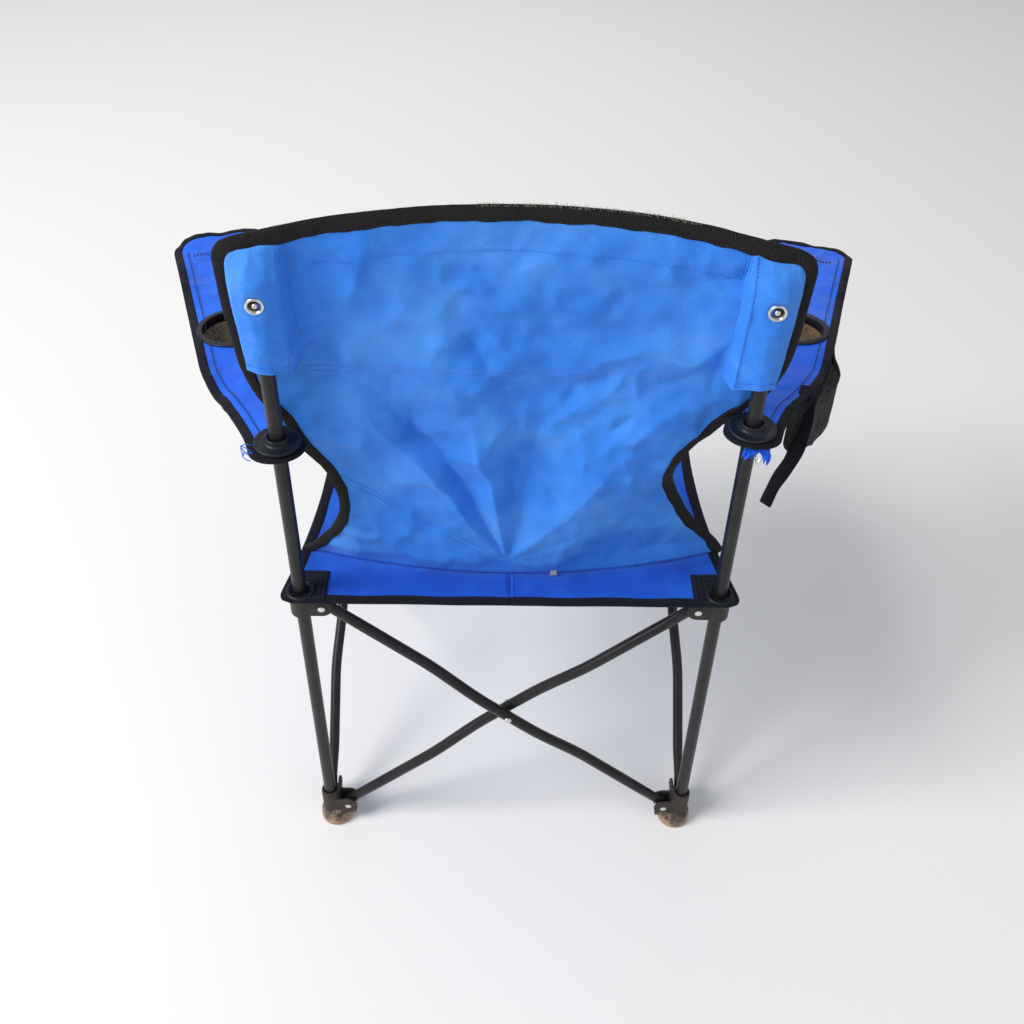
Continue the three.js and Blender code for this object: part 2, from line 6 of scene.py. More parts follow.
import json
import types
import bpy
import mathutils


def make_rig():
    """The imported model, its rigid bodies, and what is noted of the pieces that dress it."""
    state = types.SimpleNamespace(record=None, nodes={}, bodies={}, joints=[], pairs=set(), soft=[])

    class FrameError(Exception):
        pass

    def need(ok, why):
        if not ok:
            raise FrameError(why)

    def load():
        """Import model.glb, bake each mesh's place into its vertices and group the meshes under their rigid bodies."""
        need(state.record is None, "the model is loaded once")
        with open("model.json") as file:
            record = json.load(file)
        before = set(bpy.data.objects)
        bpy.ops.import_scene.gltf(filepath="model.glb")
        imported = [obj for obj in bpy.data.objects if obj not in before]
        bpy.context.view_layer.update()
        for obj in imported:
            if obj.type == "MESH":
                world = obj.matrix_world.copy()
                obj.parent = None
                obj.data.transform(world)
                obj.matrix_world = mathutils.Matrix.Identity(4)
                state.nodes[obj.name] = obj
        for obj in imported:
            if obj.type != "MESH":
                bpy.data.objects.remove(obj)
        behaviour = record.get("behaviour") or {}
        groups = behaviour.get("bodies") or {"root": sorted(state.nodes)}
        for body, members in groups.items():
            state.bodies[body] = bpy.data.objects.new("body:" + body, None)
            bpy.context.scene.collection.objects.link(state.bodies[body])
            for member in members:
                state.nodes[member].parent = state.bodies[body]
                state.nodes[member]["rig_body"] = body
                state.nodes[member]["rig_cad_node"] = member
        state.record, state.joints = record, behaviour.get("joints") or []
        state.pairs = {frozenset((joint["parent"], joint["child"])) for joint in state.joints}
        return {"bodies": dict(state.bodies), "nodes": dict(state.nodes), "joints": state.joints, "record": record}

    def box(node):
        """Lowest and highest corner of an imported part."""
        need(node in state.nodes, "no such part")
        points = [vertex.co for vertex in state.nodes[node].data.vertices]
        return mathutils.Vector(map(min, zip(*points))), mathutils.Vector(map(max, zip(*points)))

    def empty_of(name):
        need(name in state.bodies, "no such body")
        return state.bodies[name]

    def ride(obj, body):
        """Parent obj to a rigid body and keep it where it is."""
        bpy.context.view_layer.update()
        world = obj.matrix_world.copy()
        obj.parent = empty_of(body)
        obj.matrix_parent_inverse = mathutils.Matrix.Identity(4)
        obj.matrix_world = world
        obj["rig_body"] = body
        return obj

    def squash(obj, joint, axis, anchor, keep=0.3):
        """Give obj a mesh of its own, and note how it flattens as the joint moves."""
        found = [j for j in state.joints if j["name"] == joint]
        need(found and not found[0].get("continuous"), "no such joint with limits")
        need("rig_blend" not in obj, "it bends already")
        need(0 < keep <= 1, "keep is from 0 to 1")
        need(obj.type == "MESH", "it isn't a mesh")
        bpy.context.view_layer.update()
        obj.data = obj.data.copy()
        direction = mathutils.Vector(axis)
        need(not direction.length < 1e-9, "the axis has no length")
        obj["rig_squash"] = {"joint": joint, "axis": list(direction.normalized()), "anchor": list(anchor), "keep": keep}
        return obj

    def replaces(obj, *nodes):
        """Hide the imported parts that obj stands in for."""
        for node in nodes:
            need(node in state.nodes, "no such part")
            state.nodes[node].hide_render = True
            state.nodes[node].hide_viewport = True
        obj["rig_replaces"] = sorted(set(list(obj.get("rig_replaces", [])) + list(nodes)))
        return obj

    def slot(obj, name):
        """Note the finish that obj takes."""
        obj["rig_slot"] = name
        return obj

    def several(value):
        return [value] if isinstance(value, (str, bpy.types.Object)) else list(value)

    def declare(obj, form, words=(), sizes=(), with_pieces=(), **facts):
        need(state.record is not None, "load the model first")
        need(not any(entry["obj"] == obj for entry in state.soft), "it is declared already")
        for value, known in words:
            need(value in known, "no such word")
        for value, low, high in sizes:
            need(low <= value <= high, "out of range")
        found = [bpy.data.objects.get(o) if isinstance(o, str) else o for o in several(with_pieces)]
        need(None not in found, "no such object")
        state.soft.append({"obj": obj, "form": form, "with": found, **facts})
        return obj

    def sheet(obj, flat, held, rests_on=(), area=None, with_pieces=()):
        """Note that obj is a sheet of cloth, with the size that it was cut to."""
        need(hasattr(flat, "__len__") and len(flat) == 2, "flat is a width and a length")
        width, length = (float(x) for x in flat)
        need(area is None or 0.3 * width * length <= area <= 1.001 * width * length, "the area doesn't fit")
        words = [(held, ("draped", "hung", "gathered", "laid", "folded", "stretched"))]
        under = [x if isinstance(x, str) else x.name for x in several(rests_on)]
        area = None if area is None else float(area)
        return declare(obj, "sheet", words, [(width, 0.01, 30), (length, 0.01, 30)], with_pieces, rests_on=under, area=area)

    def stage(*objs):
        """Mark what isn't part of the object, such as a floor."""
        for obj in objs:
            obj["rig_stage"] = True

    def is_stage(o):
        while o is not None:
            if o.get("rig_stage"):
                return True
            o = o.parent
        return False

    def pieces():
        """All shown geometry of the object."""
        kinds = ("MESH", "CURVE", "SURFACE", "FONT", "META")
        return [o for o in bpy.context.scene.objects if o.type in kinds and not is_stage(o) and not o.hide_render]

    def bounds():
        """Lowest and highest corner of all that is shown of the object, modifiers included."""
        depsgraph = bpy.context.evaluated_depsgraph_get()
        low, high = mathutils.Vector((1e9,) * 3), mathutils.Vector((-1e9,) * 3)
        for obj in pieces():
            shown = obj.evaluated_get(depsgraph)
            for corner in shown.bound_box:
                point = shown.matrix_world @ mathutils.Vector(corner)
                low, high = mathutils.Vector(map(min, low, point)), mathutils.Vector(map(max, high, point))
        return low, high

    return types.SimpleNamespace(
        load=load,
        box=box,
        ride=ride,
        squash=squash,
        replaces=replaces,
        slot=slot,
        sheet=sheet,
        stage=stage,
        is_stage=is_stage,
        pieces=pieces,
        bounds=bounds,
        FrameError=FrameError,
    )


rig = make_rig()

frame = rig.load()
CAD_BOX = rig.bounds()

import json
import logging
import math
import random
from collections.abc import Callable, Sequence
from dataclasses import dataclass, field
from enum import Enum
from functools import cache

import bmesh
import bpy
import numpy as np
from mathutils import Matrix, Vector, noise

log = logging.getLogger("camp_chair")

Socket = bpy.types.NodeSocket
Thing = bpy.types.Object
Material = bpy.types.Material
Array = np.ndarray
Colour = tuple[float, float, float, float]
Node = bpy.types.Node
Outputs = bpy.types.bpy_prop_collection


# ---- Names and choices ----


class Side(Enum):
    """The sitter's left (+X) or right (-X)."""

    LEFT = 1
    RIGHT = -1

    @property
    def word(self) -> str:
        """The side's name in node and piece names."""
        return self.name.lower()


class End(Enum):
    """The rear (+Y) or front (-Y) of the chair."""

    REAR = 1
    FRONT = -1

    @property
    def word(self) -> str:
        """The end's name in node and piece names."""
        return self.name.lower()


class Slot(Enum):
    """The record's material slots."""

    STEEL = "black_steel"
    RIVET = "rivet_steel"
    FOOT = "foot_plastic"
    HUB = "hub_plastic"
    COLLAR = "collar_plastic"
    CLOTH = "blue_cloth"
    BINDING = "black_binding"
    CUP_MESH = "cup_mesh"
    BLACK_MESH = "black_mesh"


# ---- Shader node graphs ----

CLOTH_MAP = "cloth"


class Graph:
    """A thin wrapper that makes and links the nodes of one tree."""

    def __init__(self, tree: bpy.types.NodeTree) -> None:
        """Takes the node tree that it writes to."""
        self.tree = tree

    def add(self, kind: str, inputs: dict | None = None, **values: object) -> Node:
        """Adds a node.

        Args:
            kind: the node's type name.
            inputs: input socket name or number to a value or a socket.
            values: the node's own properties.

        Returns:
            The new node.
        """
        node = self.tree.nodes.new(kind)
        for name, value in values.items():
            setattr(node, name, value)
        for key, value in (inputs or {}).items():
            self.feed(node.inputs[key], value)
        return node

    def feed(self, socket: Socket, value: object) -> None:
        """Links a socket to an input, or sets the input's own value.

        Args:
            socket: the input to feed.
            value: another node's output, or the input's new value.
        """
        if isinstance(value, bpy.types.NodeSocket):
            self.tree.links.new(value, socket)
        else:
            socket.default_value = value

    def math(self, operation: str, *operands: object) -> Socket:
        """The result of a Math node on one to three sockets or numbers."""
        return self.add("ShaderNodeMath", dict(enumerate(operands)), operation=operation).outputs[0]

    def fit(self, value: Socket, low: float, high: float, to_low: float = 0, to_high: float = 1) -> Socket:
        """A value moved smoothly from the range low..high to the range to_low..to_high."""
        ends = {"Value": value, "From Min": low, "From Max": high, "To Min": to_low, "To Max": to_high}
        return self.add("ShaderNodeMapRange", ends, interpolation_type="SMOOTHSTEP").outputs[0]

    def noise(self, vector: Socket, scale: object, detail: float = 3, rough: float = 0.55) -> Socket:
        """The value of a noise texture."""
        inputs = {"Vector": vector, "Scale": scale, "Detail": detail, "Roughness": rough}
        return self.add("ShaderNodeTexNoise", inputs).outputs[0]

    def mix(self, share: object, first: object, second: object) -> Socket:
        """A colour between two others.

        Args:
            share: how much of the second colour it has, from 0 to 1.
            first: the colour at 0.
            second: the colour at 1.

        Returns:
            The mixed colour's socket.
        """
        node = self.add("ShaderNodeMix", data_type="RGBA")
        for socket, value in zip((0, 6, 7), (share, first, second)):
            self.feed(node.inputs[socket], value)
        return node.outputs[2]

    def axes(self, vector: Socket) -> Outputs:
        """The X, Y and Z of a vector."""
        return self.add("ShaderNodeSeparateXYZ", {0: vector}).outputs

    def on_cloth(self) -> Socket:
        """The cloth's own coordinates, in metres."""
        return self.add("ShaderNodeUVMap", uv_map=CLOTH_MAP).outputs[0]


class Effect:
    """A shader node group that several materials share."""

    made: dict[str, bpy.types.NodeTree] = {}

    def __init__(self, name: str, inputs: dict[str, str], outputs: dict[str, str]) -> None:
        """Starts the group and its sockets.

        Args:
            name: the group's name.
            inputs: input names, each with its socket type.
            outputs: output names, each with its socket type.
        """
        self.tree = bpy.data.node_groups.new(name, "ShaderNodeTree")
        for label, kind in inputs.items():
            self.tree.interface.new_socket(label, in_out="INPUT", socket_type=kind)
        for label, kind in outputs.items():
            self.tree.interface.new_socket(label, in_out="OUTPUT", socket_type=kind)
        self.graph = Graph(self.tree)
        self.given = self.graph.add("NodeGroupInput").outputs
        self.result = self.graph.add("NodeGroupOutput").inputs
        Effect.made[name] = self.tree

    def give(self, label: str, value: Socket) -> None:
        """Links a value to one of the group's outputs."""
        self.graph.feed(self.result[label], value)


FLOAT, COLOUR, VECTOR = "NodeSocketFloat", "NodeSocketColor", "NodeSocketVector"
RELIEF = {"Height": FLOAT, "Mask": FLOAT}


def weave_effect() -> None:
    """A plain weave: two crossing waves of threads that lie a little unevenly."""
    effect = Effect("weave", {"Vector": VECTOR, "Threads": FLOAT}, RELIEF)
    g, place = effect.graph, effect.given["Vector"]
    turns = g.math("MULTIPLY", effect.given["Threads"], math.pi)
    axes = g.axes(place)
    waves = [g.math("SINE", g.math("MULTIPLY", axes[k], turns)) for k in (0, 1)]
    over = g.math("MULTIPLY_ADD", g.math("MULTIPLY", *waves), 0.5, 0.5)
    loose = g.noise(place, 700, 2)
    effect.give("Height", g.math("MULTIPLY_ADD", loose, 0.5, over))
    # The mask marks where the threads lie over; the cloth paints shade in the dips where it is low.
    effect.give("Mask", over)


def twill_effect() -> None:
    """Twill tape: slanted ribs that wander a little, with fine yarn across them."""
    effect = Effect("twill", {"Vector": VECTOR, "Ribs": FLOAT}, RELIEF)
    g, place = effect.graph, effect.given["Vector"]
    x, y = g.axes(place)[:2]
    wander = g.math("MULTIPLY", g.noise(place, 90, 1), 0.004)
    slant = g.math("ADD", g.math("ADD", x, g.math("MULTIPLY", y, 0.8)), wander)
    turns = g.math("MULTIPLY", effect.given["Ribs"], 2 * math.pi)
    rib = g.math("MULTIPLY_ADD", g.math("SINE", g.math("MULTIPLY", slant, turns)), 0.5, 0.5)
    fine = g.math("MULTIPLY", turns, 3)
    yarn = g.math("SINE", g.math("MULTIPLY", g.math("SUBTRACT", x, y), fine))
    effect.give("Height", g.math("MULTIPLY_ADD", yarn, 0.12, rib))
    # The mask marks the rib tops; the tape paints shade in the grooves where it is low.
    effect.give("Mask", g.math("POWER", rib, 2))


def washed_effect() -> None:
    """Washed colour: broad faded areas, small blotches, and darker places between them."""
    inputs = {"Vector": VECTOR, "Fresh": COLOUR, "Faded": COLOUR, "Deep": COLOUR}
    effect = Effect("washed_colour", inputs, {"Color": COLOUR, "Roughness": FLOAT})
    g, place = effect.graph, effect.given["Vector"]
    broad = g.fit(g.noise(place, 7, 4), 0.42, 0.68)
    blotch = g.fit(g.noise(place, 33, 5, 0.65), 0.5, 0.72)
    rubbed = g.math("MAXIMUM", broad, g.math("MULTIPLY", blotch, 0.55))
    fine = g.fit(g.noise(place, 420, 2), 0.35, 0.75, 0, 0.35)
    dark = g.fit(g.noise(place, 16, 3), 0.52, 0.75, 0, 0.6)
    colour = g.mix(rubbed, effect.given["Fresh"], effect.given["Faded"])
    effect.give("Color", g.mix(g.math("MAXIMUM", dark, fine), colour, effect.given["Deep"]))
    effect.give("Roughness", g.math("MULTIPLY_ADD", rubbed, 0.14, 0.62))


def netting_effect() -> None:
    """Netting: two slanted sets of threads with open cells between them."""
    effect = Effect("netting", {"Vector": VECTOR, "Cells": FLOAT}, {"Thread": FLOAT, "Height": FLOAT})
    g = effect.graph
    x, y = g.axes(effect.given["Vector"])[:2]
    turns = g.math("MULTIPLY", effect.given["Cells"], math.pi)
    runs = [g.math(op, x, g.math("MULTIPLY", y, 0.7)) for op in ("ADD", "SUBTRACT")]
    lines = [g.math("ABSOLUTE", g.math("SINE", g.math("MULTIPLY", run, turns))) for run in runs]
    hole = g.math("MINIMUM", *lines)
    effect.give("Thread", g.fit(hole, 0.28, 0.5, 1, 0))
    effect.give("Height", g.fit(hole, 0.1, 0.6, 1, 0))


def scuffs_effect() -> None:
    """Scuffs: rubbed spots and long scratches, and a fine grain."""
    inputs = {"Vector": VECTOR, "Scale": FLOAT, "Amount": FLOAT}
    effect = Effect("scuffs", inputs, {"Mask": FLOAT, "Grain": FLOAT})
    g, place, scale = effect.graph, effect.given["Vector"], effect.given["Scale"]
    spots = g.noise(place, scale, 5, 0.7)
    long_way = g.add("ShaderNodeMapping", {0: place, "Scale": (1, 1, 0.12)}).outputs[0]
    scratches = g.noise(long_way, g.math("MULTIPLY", scale, 5), 2, 0.4)
    level = g.math("SUBTRACT", 0.78, g.math("MULTIPLY", effect.given["Amount"], 0.2))
    worn = g.math("GREATER_THAN", spots, level)
    scratched = g.math("GREATER_THAN", scratches, g.math("ADD", level, 0.03))
    effect.give("Mask", g.math("MAXIMUM", worn, g.math("MULTIPLY", scratched, 0.6)))
    effect.give("Grain", g.noise(place, 900, 3, 0.6))


def dirt_effect() -> None:
    """Dirt that settles below a height, with a patchy upper edge."""
    effect = Effect("settled_dirt", {"Vector": VECTOR, "Top": FLOAT, "Fade": FLOAT}, {"Mask": FLOAT})
    g, place = effect.graph, effect.given["Vector"]
    height = g.axes(place)[2]
    above = g.math("DIVIDE", g.math("SUBTRACT", effect.given["Top"], height), effect.given["Fade"])
    patches = g.noise(place, 85, 6, 0.7)
    amount = g.math("ADD", above, g.math("MULTIPLY_ADD", patches, 3.2, -1.75))
    effect.give("Mask", g.fit(amount, 0.1, 1.0))


def build_effects() -> None:
    """Makes the shared node groups."""
    for effect in (weave_effect, twill_effect, washed_effect, netting_effect, scuffs_effect, dirt_effect):
        effect()


@dataclass(frozen=True)
class Finish:
    """What every finish has: its name and the record's slot that it belongs to."""

    name: str
    slot: Slot

    def start(self) -> tuple[Material, Graph, Node]:
        """A new material.

        Returns:
            The material, its graph and its Principled node.
        """
        material = bpy.data.materials.new(self.name)
        material.use_nodes = True
        graph = Graph(material.node_tree)
        return material, graph, material.node_tree.nodes["Principled BSDF"]

    def group(self, graph: Graph, effect: str, **inputs: object) -> Outputs:
        """Places a shared effect.

        Args:
            graph: the material's graph.
            effect: the effect's name.
            inputs: the group's input values.

        Returns:
            The outputs of the placed group.
        """
        node = graph.add("ShaderNodeGroup", node_tree=Effect.made[effect])
        for name, value in inputs.items():
            graph.feed(node.inputs[name], value)
        return node.outputs

    def bump(self, graph: Graph, shader: Node, height: Socket, distance: float) -> None:
        """Feeds a height to the shader's normal."""
        inputs = {"Height": height, "Distance": distance, "Strength": 1.0}
        graph.feed(shader.inputs["Normal"], graph.add("ShaderNodeBump", inputs).outputs[0])

    def build(self) -> Material:
        """The finished material."""
        raise NotImplementedError


@dataclass(frozen=True)
class ClothFinish(Finish):
    """Woven polyester with washed patches."""

    fresh: Colour
    faded: Colour
    # The darkest tone: random darker places, and the painted shade in the weave's dips.
    deep: Colour
    threads: float = 780
    depth: float = 0.0004

    def build(self) -> Material:
        """The cloth's material: washed colour, woven relief with painted shade in its dips, and a little sheen.

        Returns:
            The finished material.
        """
        material, g, shader = self.start()
        place = g.on_cloth()
        colours = {"Fresh": self.fresh, "Faded": self.faded, "Deep": self.deep}
        colour = self.group(g, "washed_colour", Vector=place, **colours)
        weave = self.group(g, "weave", Vector=place, Threads=self.threads)
        # Painted shade: the dips between the woven threads are darkened towards the deep colour.
        weave_shade = g.math("MULTIPLY", g.math("SUBTRACT", 1, weave["Mask"]), 0.42)
        g.feed(shader.inputs["Base Color"], g.mix(weave_shade, colour["Color"], self.deep))
        g.feed(shader.inputs["Roughness"], colour["Roughness"])
        shader.inputs["Sheen Weight"].default_value = 0.12
        shader.inputs["Sheen Roughness"].default_value = 0.4
        shader.inputs["Specular IOR Level"].default_value = 0.35
        self.bump(g, shader, weave["Height"], self.depth)
        return material


@dataclass(frozen=True)
class TapeFinish(Finish):
    """Twill binding tape or webbing."""

    yarn: Colour
    # The darker colour: painted shade in the grooves between the ribs, and the random fluff's darker tone.
    valley: Colour
    ribs: float = 330
    depth: float = 0.0006

    def build(self) -> Material:
        """The tape's material: fluffy yarn on slanted ribs, with painted shade in the grooves between them.

        Returns:
            The finished material.
        """
        material, g, shader = self.start()
        place = g.on_cloth()
        twill = self.group(g, "twill", Vector=place, Ribs=self.ribs)
        fluff = g.fit(g.noise(place, 260, 4, 0.7), 0.35, 0.7)
        # Painted shade: the grooves between the ribs take the darker valley colour and the rib tops the lighter yarn
        # colour; the fluff noise also mixes the two at random.
        share = g.math("MULTIPLY", twill["Mask"], g.math("MULTIPLY_ADD", fluff, 0.7, 0.3))
        g.feed(shader.inputs["Base Color"], g.mix(share, self.valley, self.yarn))
        g.feed(shader.inputs["Roughness"], g.math("MULTIPLY_ADD", fluff, 0.2, 0.7))
        shader.inputs["Sheen Weight"].default_value = 0.03
        shader.inputs["Specular IOR Level"].default_value = 0.2
        self.bump(g, shader, twill["Height"], self.depth)
        return material


@dataclass(frozen=True)
class NettingFinish(Finish):
    """Knitted netting with open holes."""

    thread: Colour
    shade: Colour
    cells: float
    closed: float
    relief: float = 0.0006

    def build(self) -> Material:
        """The netting's material, see-through in its cells.

        Returns:
            The finished material.
        """
        material, g, shader = self.start()
        place = g.on_cloth()
        net = self.group(g, "netting", Vector=place, Cells=self.cells)
        tint = g.fit(g.noise(place, 60, 4), 0.35, 0.7)
        share = g.math("MULTIPLY", tint, net["Height"])
        g.feed(shader.inputs["Base Color"], g.mix(share, self.shade, self.thread))
        g.feed(shader.inputs["Roughness"], g.math("MULTIPLY_ADD", tint, 0.2, 0.65))
        g.feed(shader.inputs["Alpha"], g.math("MAXIMUM", net["Thread"], self.closed))
        self.bump(g, shader, net["Height"], self.relief)
        return material


@dataclass(frozen=True)
class HardFinish(Finish):
    """Painted steel or moulded plastic, scuffed, with dirt that settles low down."""

    colour: Colour
    scuffed: Colour
    dirt: Colour = (0.16, 0.105, 0.065, 1)
    metallic: float = 0.0
    rough: float = 0.45
    coat: float = 0.0
    specular: float = 0.3
    scuff_scale: float = 60
    scuff_amount: float = 0.3
    dirt_top: float = 0.02
    dirt_fade: float = 0.05
    grain: float = 0.00012

    def build(self) -> Material:
        """The painted or moulded material: scuffs, dirt and a fine grain.

        Returns:
            The finished material.
        """
        material, g, shader = self.start()
        place = g.add("ShaderNodeTexCoord").outputs["Object"]
        marks = self.group(g, "scuffs", Vector=place, Scale=self.scuff_scale, Amount=self.scuff_amount)
        soil = self.group(g, "settled_dirt", Vector=place, Top=self.dirt_top, Fade=self.dirt_fade)
        tone = g.fit(g.noise(place, 24, 4), 0.3, 0.7, 0.0, 0.16)
        rubbed = g.math("MAXIMUM", tone, g.math("MULTIPLY", marks["Mask"], 0.8))
        bare = g.mix(rubbed, self.colour, self.scuffed)
        g.feed(shader.inputs["Base Color"], g.mix(soil["Mask"], bare, self.dirt))
        dull = g.math("MULTIPLY_ADD", marks["Grain"], 0.16, self.rough - 0.08)
        g.feed(shader.inputs["Roughness"], g.math("MULTIPLY_ADD", soil["Mask"], 0.35, dull))
        shader.inputs["Metallic"].default_value = self.metallic
        shader.inputs["Specular IOR Level"].default_value = self.specular
        if self.coat:
            shader.inputs["Coat Weight"].default_value = self.coat
            shader.inputs["Coat Roughness"].default_value = 0.3
        height = g.math("ADD", marks["Grain"], g.math("MULTIPLY", soil["Mask"], 2.0))
        self.bump(g, shader, height, self.grain)
        return material


BLUE_BACK = ClothFinish(
    "blue_back_cloth", Slot.CLOTH, (0.030, 0.240, 0.84, 1), (0.095, 0.365, 0.96, 1), (0.010, 0.140, 0.68, 1)
)
BLUE_ARM = ClothFinish(
    "blue_arm_cloth", Slot.CLOTH, (0.002, 0.130, 0.88, 1), (0.010, 0.190, 0.98, 1), (0.002, 0.075, 0.62, 1)
)
BLUE_SEAT = ClothFinish(
    "blue_seat_cloth", Slot.CLOTH, (0.003, 0.095, 0.62, 1), (0.012, 0.185, 0.90, 1), (0.002, 0.045, 0.38, 1)
)
# Each tape's second colour is the painted shade in the grooves between its ribs.
BROWN_TAPE = TapeFinish(
    "brown_black_tape", Slot.BINDING, (0.042, 0.036, 0.033, 1), (0.003, 0.003, 0.0045, 1)
)
NAVY_TAPE = TapeFinish(
    "navy_tape", Slot.BINDING, (0.010, 0.012, 0.024, 1), (0.002, 0.0025, 0.007, 1), 420, 0.0004
)
CUP_NET = NettingFinish(
    "brown_netting", Slot.CUP_MESH, (0.46, 0.27, 0.11, 1), (0.10, 0.055, 0.025, 1), 250, 0.72
)
BLACK_NET = NettingFinish(
    "black_netting", Slot.BLACK_MESH, (0.010, 0.010, 0.012, 1), (0.003, 0.003, 0.004, 1), 190, 0.72
)

CLEAN = {"dirt_top": -0.6, "dirt_fade": 1.0}
BLACK_STEEL = HardFinish(
    "black_powder_coat", Slot.STEEL, (0.0060, 0.0062, 0.0072, 1), (0.045, 0.045, 0.047, 1),
    rough=0.38, coat=0.08, scuff_scale=70, scuff_amount=0.22, dirt_top=0.03, dirt_fade=0.06,
)
HUB_PLASTIC = HardFinish(
    "hub_plastic_worn", Slot.HUB, (0.014, 0.0135, 0.0135, 1), (0.10, 0.085, 0.07, 1),
    rough=0.5, scuff_scale=45, scuff_amount=0.5, **CLEAN,
)
FOOT_PLASTIC = HardFinish(
    "foot_plastic_soiled", Slot.FOOT, (0.030, 0.026, 0.023, 1), (0.12, 0.09, 0.065, 1),
    dirt=(0.36, 0.265, 0.185, 1), rough=0.6, scuff_scale=50, scuff_amount=0.6,
    dirt_top=0.03, dirt_fade=0.022, grain=0.0004,
)
COLLAR_PLASTIC = HardFinish(
    "collar_plastic_navy", Slot.COLLAR, (0.006, 0.008, 0.015, 1), (0.05, 0.055, 0.07, 1),
    rough=0.42, scuff_scale=55, scuff_amount=0.3, **CLEAN,
)
BRIGHT_STEEL = HardFinish(
    "bright_rivet_steel", Slot.RIVET, (0.70, 0.70, 0.69, 1), (0.42, 0.38, 0.33, 1),
    metallic=1.0, rough=0.28, scuff_scale=160, scuff_amount=0.8, grain=0.00005, **CLEAN,
)


def yarn(name: str, slot: Slot, lit: Colour, shaded: Colour) -> TapeFinish:
    """Sewing thread or another fine yarn."""
    return TapeFinish(name, slot, lit, shaded, ribs=900, depth=0.0001)


STITCH_NAVY = yarn("navy_thread", Slot.BINDING, (0.060, 0.070, 0.115, 1), (0.020, 0.024, 0.045, 1))
STITCH_BLUE = yarn("blue_thread", Slot.CLOTH, (0.10, 0.34, 0.95, 1), (0.03, 0.16, 0.7, 1))
STITCH_DEEP = yarn("deep_blue_thread", Slot.CLOTH, (0.004, 0.07, 0.5, 1), (0.002, 0.04, 0.3, 1))
STITCH_PALE = yarn("pale_thread", Slot.CLOTH, (0.22, 0.42, 0.88, 1), (0.10, 0.26, 0.78, 1))
STITCH_BLACK = yarn("black_thread", Slot.BINDING, (0.05, 0.05, 0.055, 1), (0.01, 0.01, 0.012, 1))
FRAY = yarn("frayed_yarn", Slot.BINDING, (0.66, 0.62, 0.50, 1), (0.30, 0.27, 0.20, 1))
TAG = yarn("pale_tag", Slot.CLOTH, (0.40, 0.42, 0.44, 1), (0.26, 0.28, 0.31, 1))


@cache
def dressed(finish: Finish) -> Material:
    """The finish's material, built the first time it is asked for."""
    return finish.build()


# ---- Mesh making ----


def in_scene(name: str, data: bpy.types.ID) -> Thing:
    """A new object in the scene.

    Args:
        name: the object's name.
        data: its mesh, light or camera.

    Returns:
        The new object.
    """
    made = bpy.data.objects.new(name, data)
    bpy.context.scene.collection.objects.link(made)
    return made


def new_piece(name: str, vertices: Sequence, faces: Sequence, finish: Finish) -> Thing:
    """A mesh object with smooth faces and a finish.

    Args:
        name: the piece's name.
        vertices: its points.
        faces: point numbers of each face.
        finish: what it is dressed in.

    Returns:
        The new object.
    """
    mesh = bpy.data.meshes.new(name)
    mesh.from_pydata([tuple(map(float, v)) for v in vertices], [], [tuple(map(int, f)) for f in faces])
    mesh.update()
    mesh.shade_smooth()
    piece = in_scene(name, mesh)
    mesh.materials.append(dressed(finish))
    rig.slot(piece, finish.slot.value)
    return piece


def lay_flat(piece: Thing, places: Sequence) -> None:
    """Gives each face corner its place on the flat cloth, in metres."""
    layer = piece.data.uv_layers.new(name=CLOTH_MAP)
    layer.uv.foreach_set("vector", np.array(places, np.float32).ravel())


def grid_piece(
    name: str, points: Array, finish: Finish, uv: Array, wrap: bool = False, ends: bool = False
) -> Thing:
    """A piece from rows and columns of points.

    Args:
        name: the piece's name.
        points: rows x columns x 3.
        finish: what it is dressed in.
        uv: the cloth's own coordinates in metres, rows x columns (one more when wrapped) x 2.
        wrap: whether the last column joins the first.
        ends: whether the first and last rows are closed.

    Returns:
        The new object.
    """
    rows, columns = points.shape[:2]
    faces, places = [], []
    for r in range(rows - 1):
        for c in range(columns if wrap else columns - 1):
            d = (c + 1) % columns
            low, high = r * columns, (r + 1) * columns
            faces.append((low + c, low + d, high + d, high + c))
            places += [uv[r, c], uv[r, c + 1], uv[r + 1, c + 1], uv[r + 1, c]]
    if ends:
        for r, order in ((0, -1), (rows - 1, 1)):
            loop = list(range(columns))[::order]
            faces.append([r * columns + c for c in loop])
            places += [uv[r, c] for c in loop]
    piece = new_piece(name, points.reshape(-1, 3), faces, finish)
    lay_flat(piece, places)
    tidy_normals(piece)
    return piece


def tidy_normals(piece: Thing) -> None:
    """Turns every face of a closed piece outwards.

    Args:
        piece: the piece; an open sheet stays as it is.
    """
    work = bmesh.new()
    work.from_mesh(piece.data)
    if all(edge.is_manifold for edge in work.edges):
        bmesh.ops.recalc_face_normals(work, faces=work.faces)
        work.to_mesh(piece.data)
    work.free()


def apply_modifiers(piece: Thing) -> Thing:
    """Makes a piece's modified mesh its own mesh.

    Args:
        piece: the piece, with its modifiers.

    Returns:
        The same piece, without them.
    """
    graph = bpy.context.evaluated_depsgraph_get()
    modified = piece.evaluated_get(graph)
    mesh = bpy.data.meshes.new_from_object(modified, preserve_all_data_layers=True, depsgraph=graph)
    old = piece.data
    piece.modifiers.clear()
    piece.data = mesh
    bpy.data.meshes.remove(old)
    return piece


def welded(piece: Thing) -> Thing:
    """Joins the points of a piece that lie on each other.

    Args:
        piece: the piece.

    Returns:
        The same piece, with its faces turned outwards.
    """
    weld = piece.modifiers.new("weld", "WELD")
    weld.merge_threshold = 1e-6
    apply_modifiers(piece)
    tidy_normals(piece)
    return piece


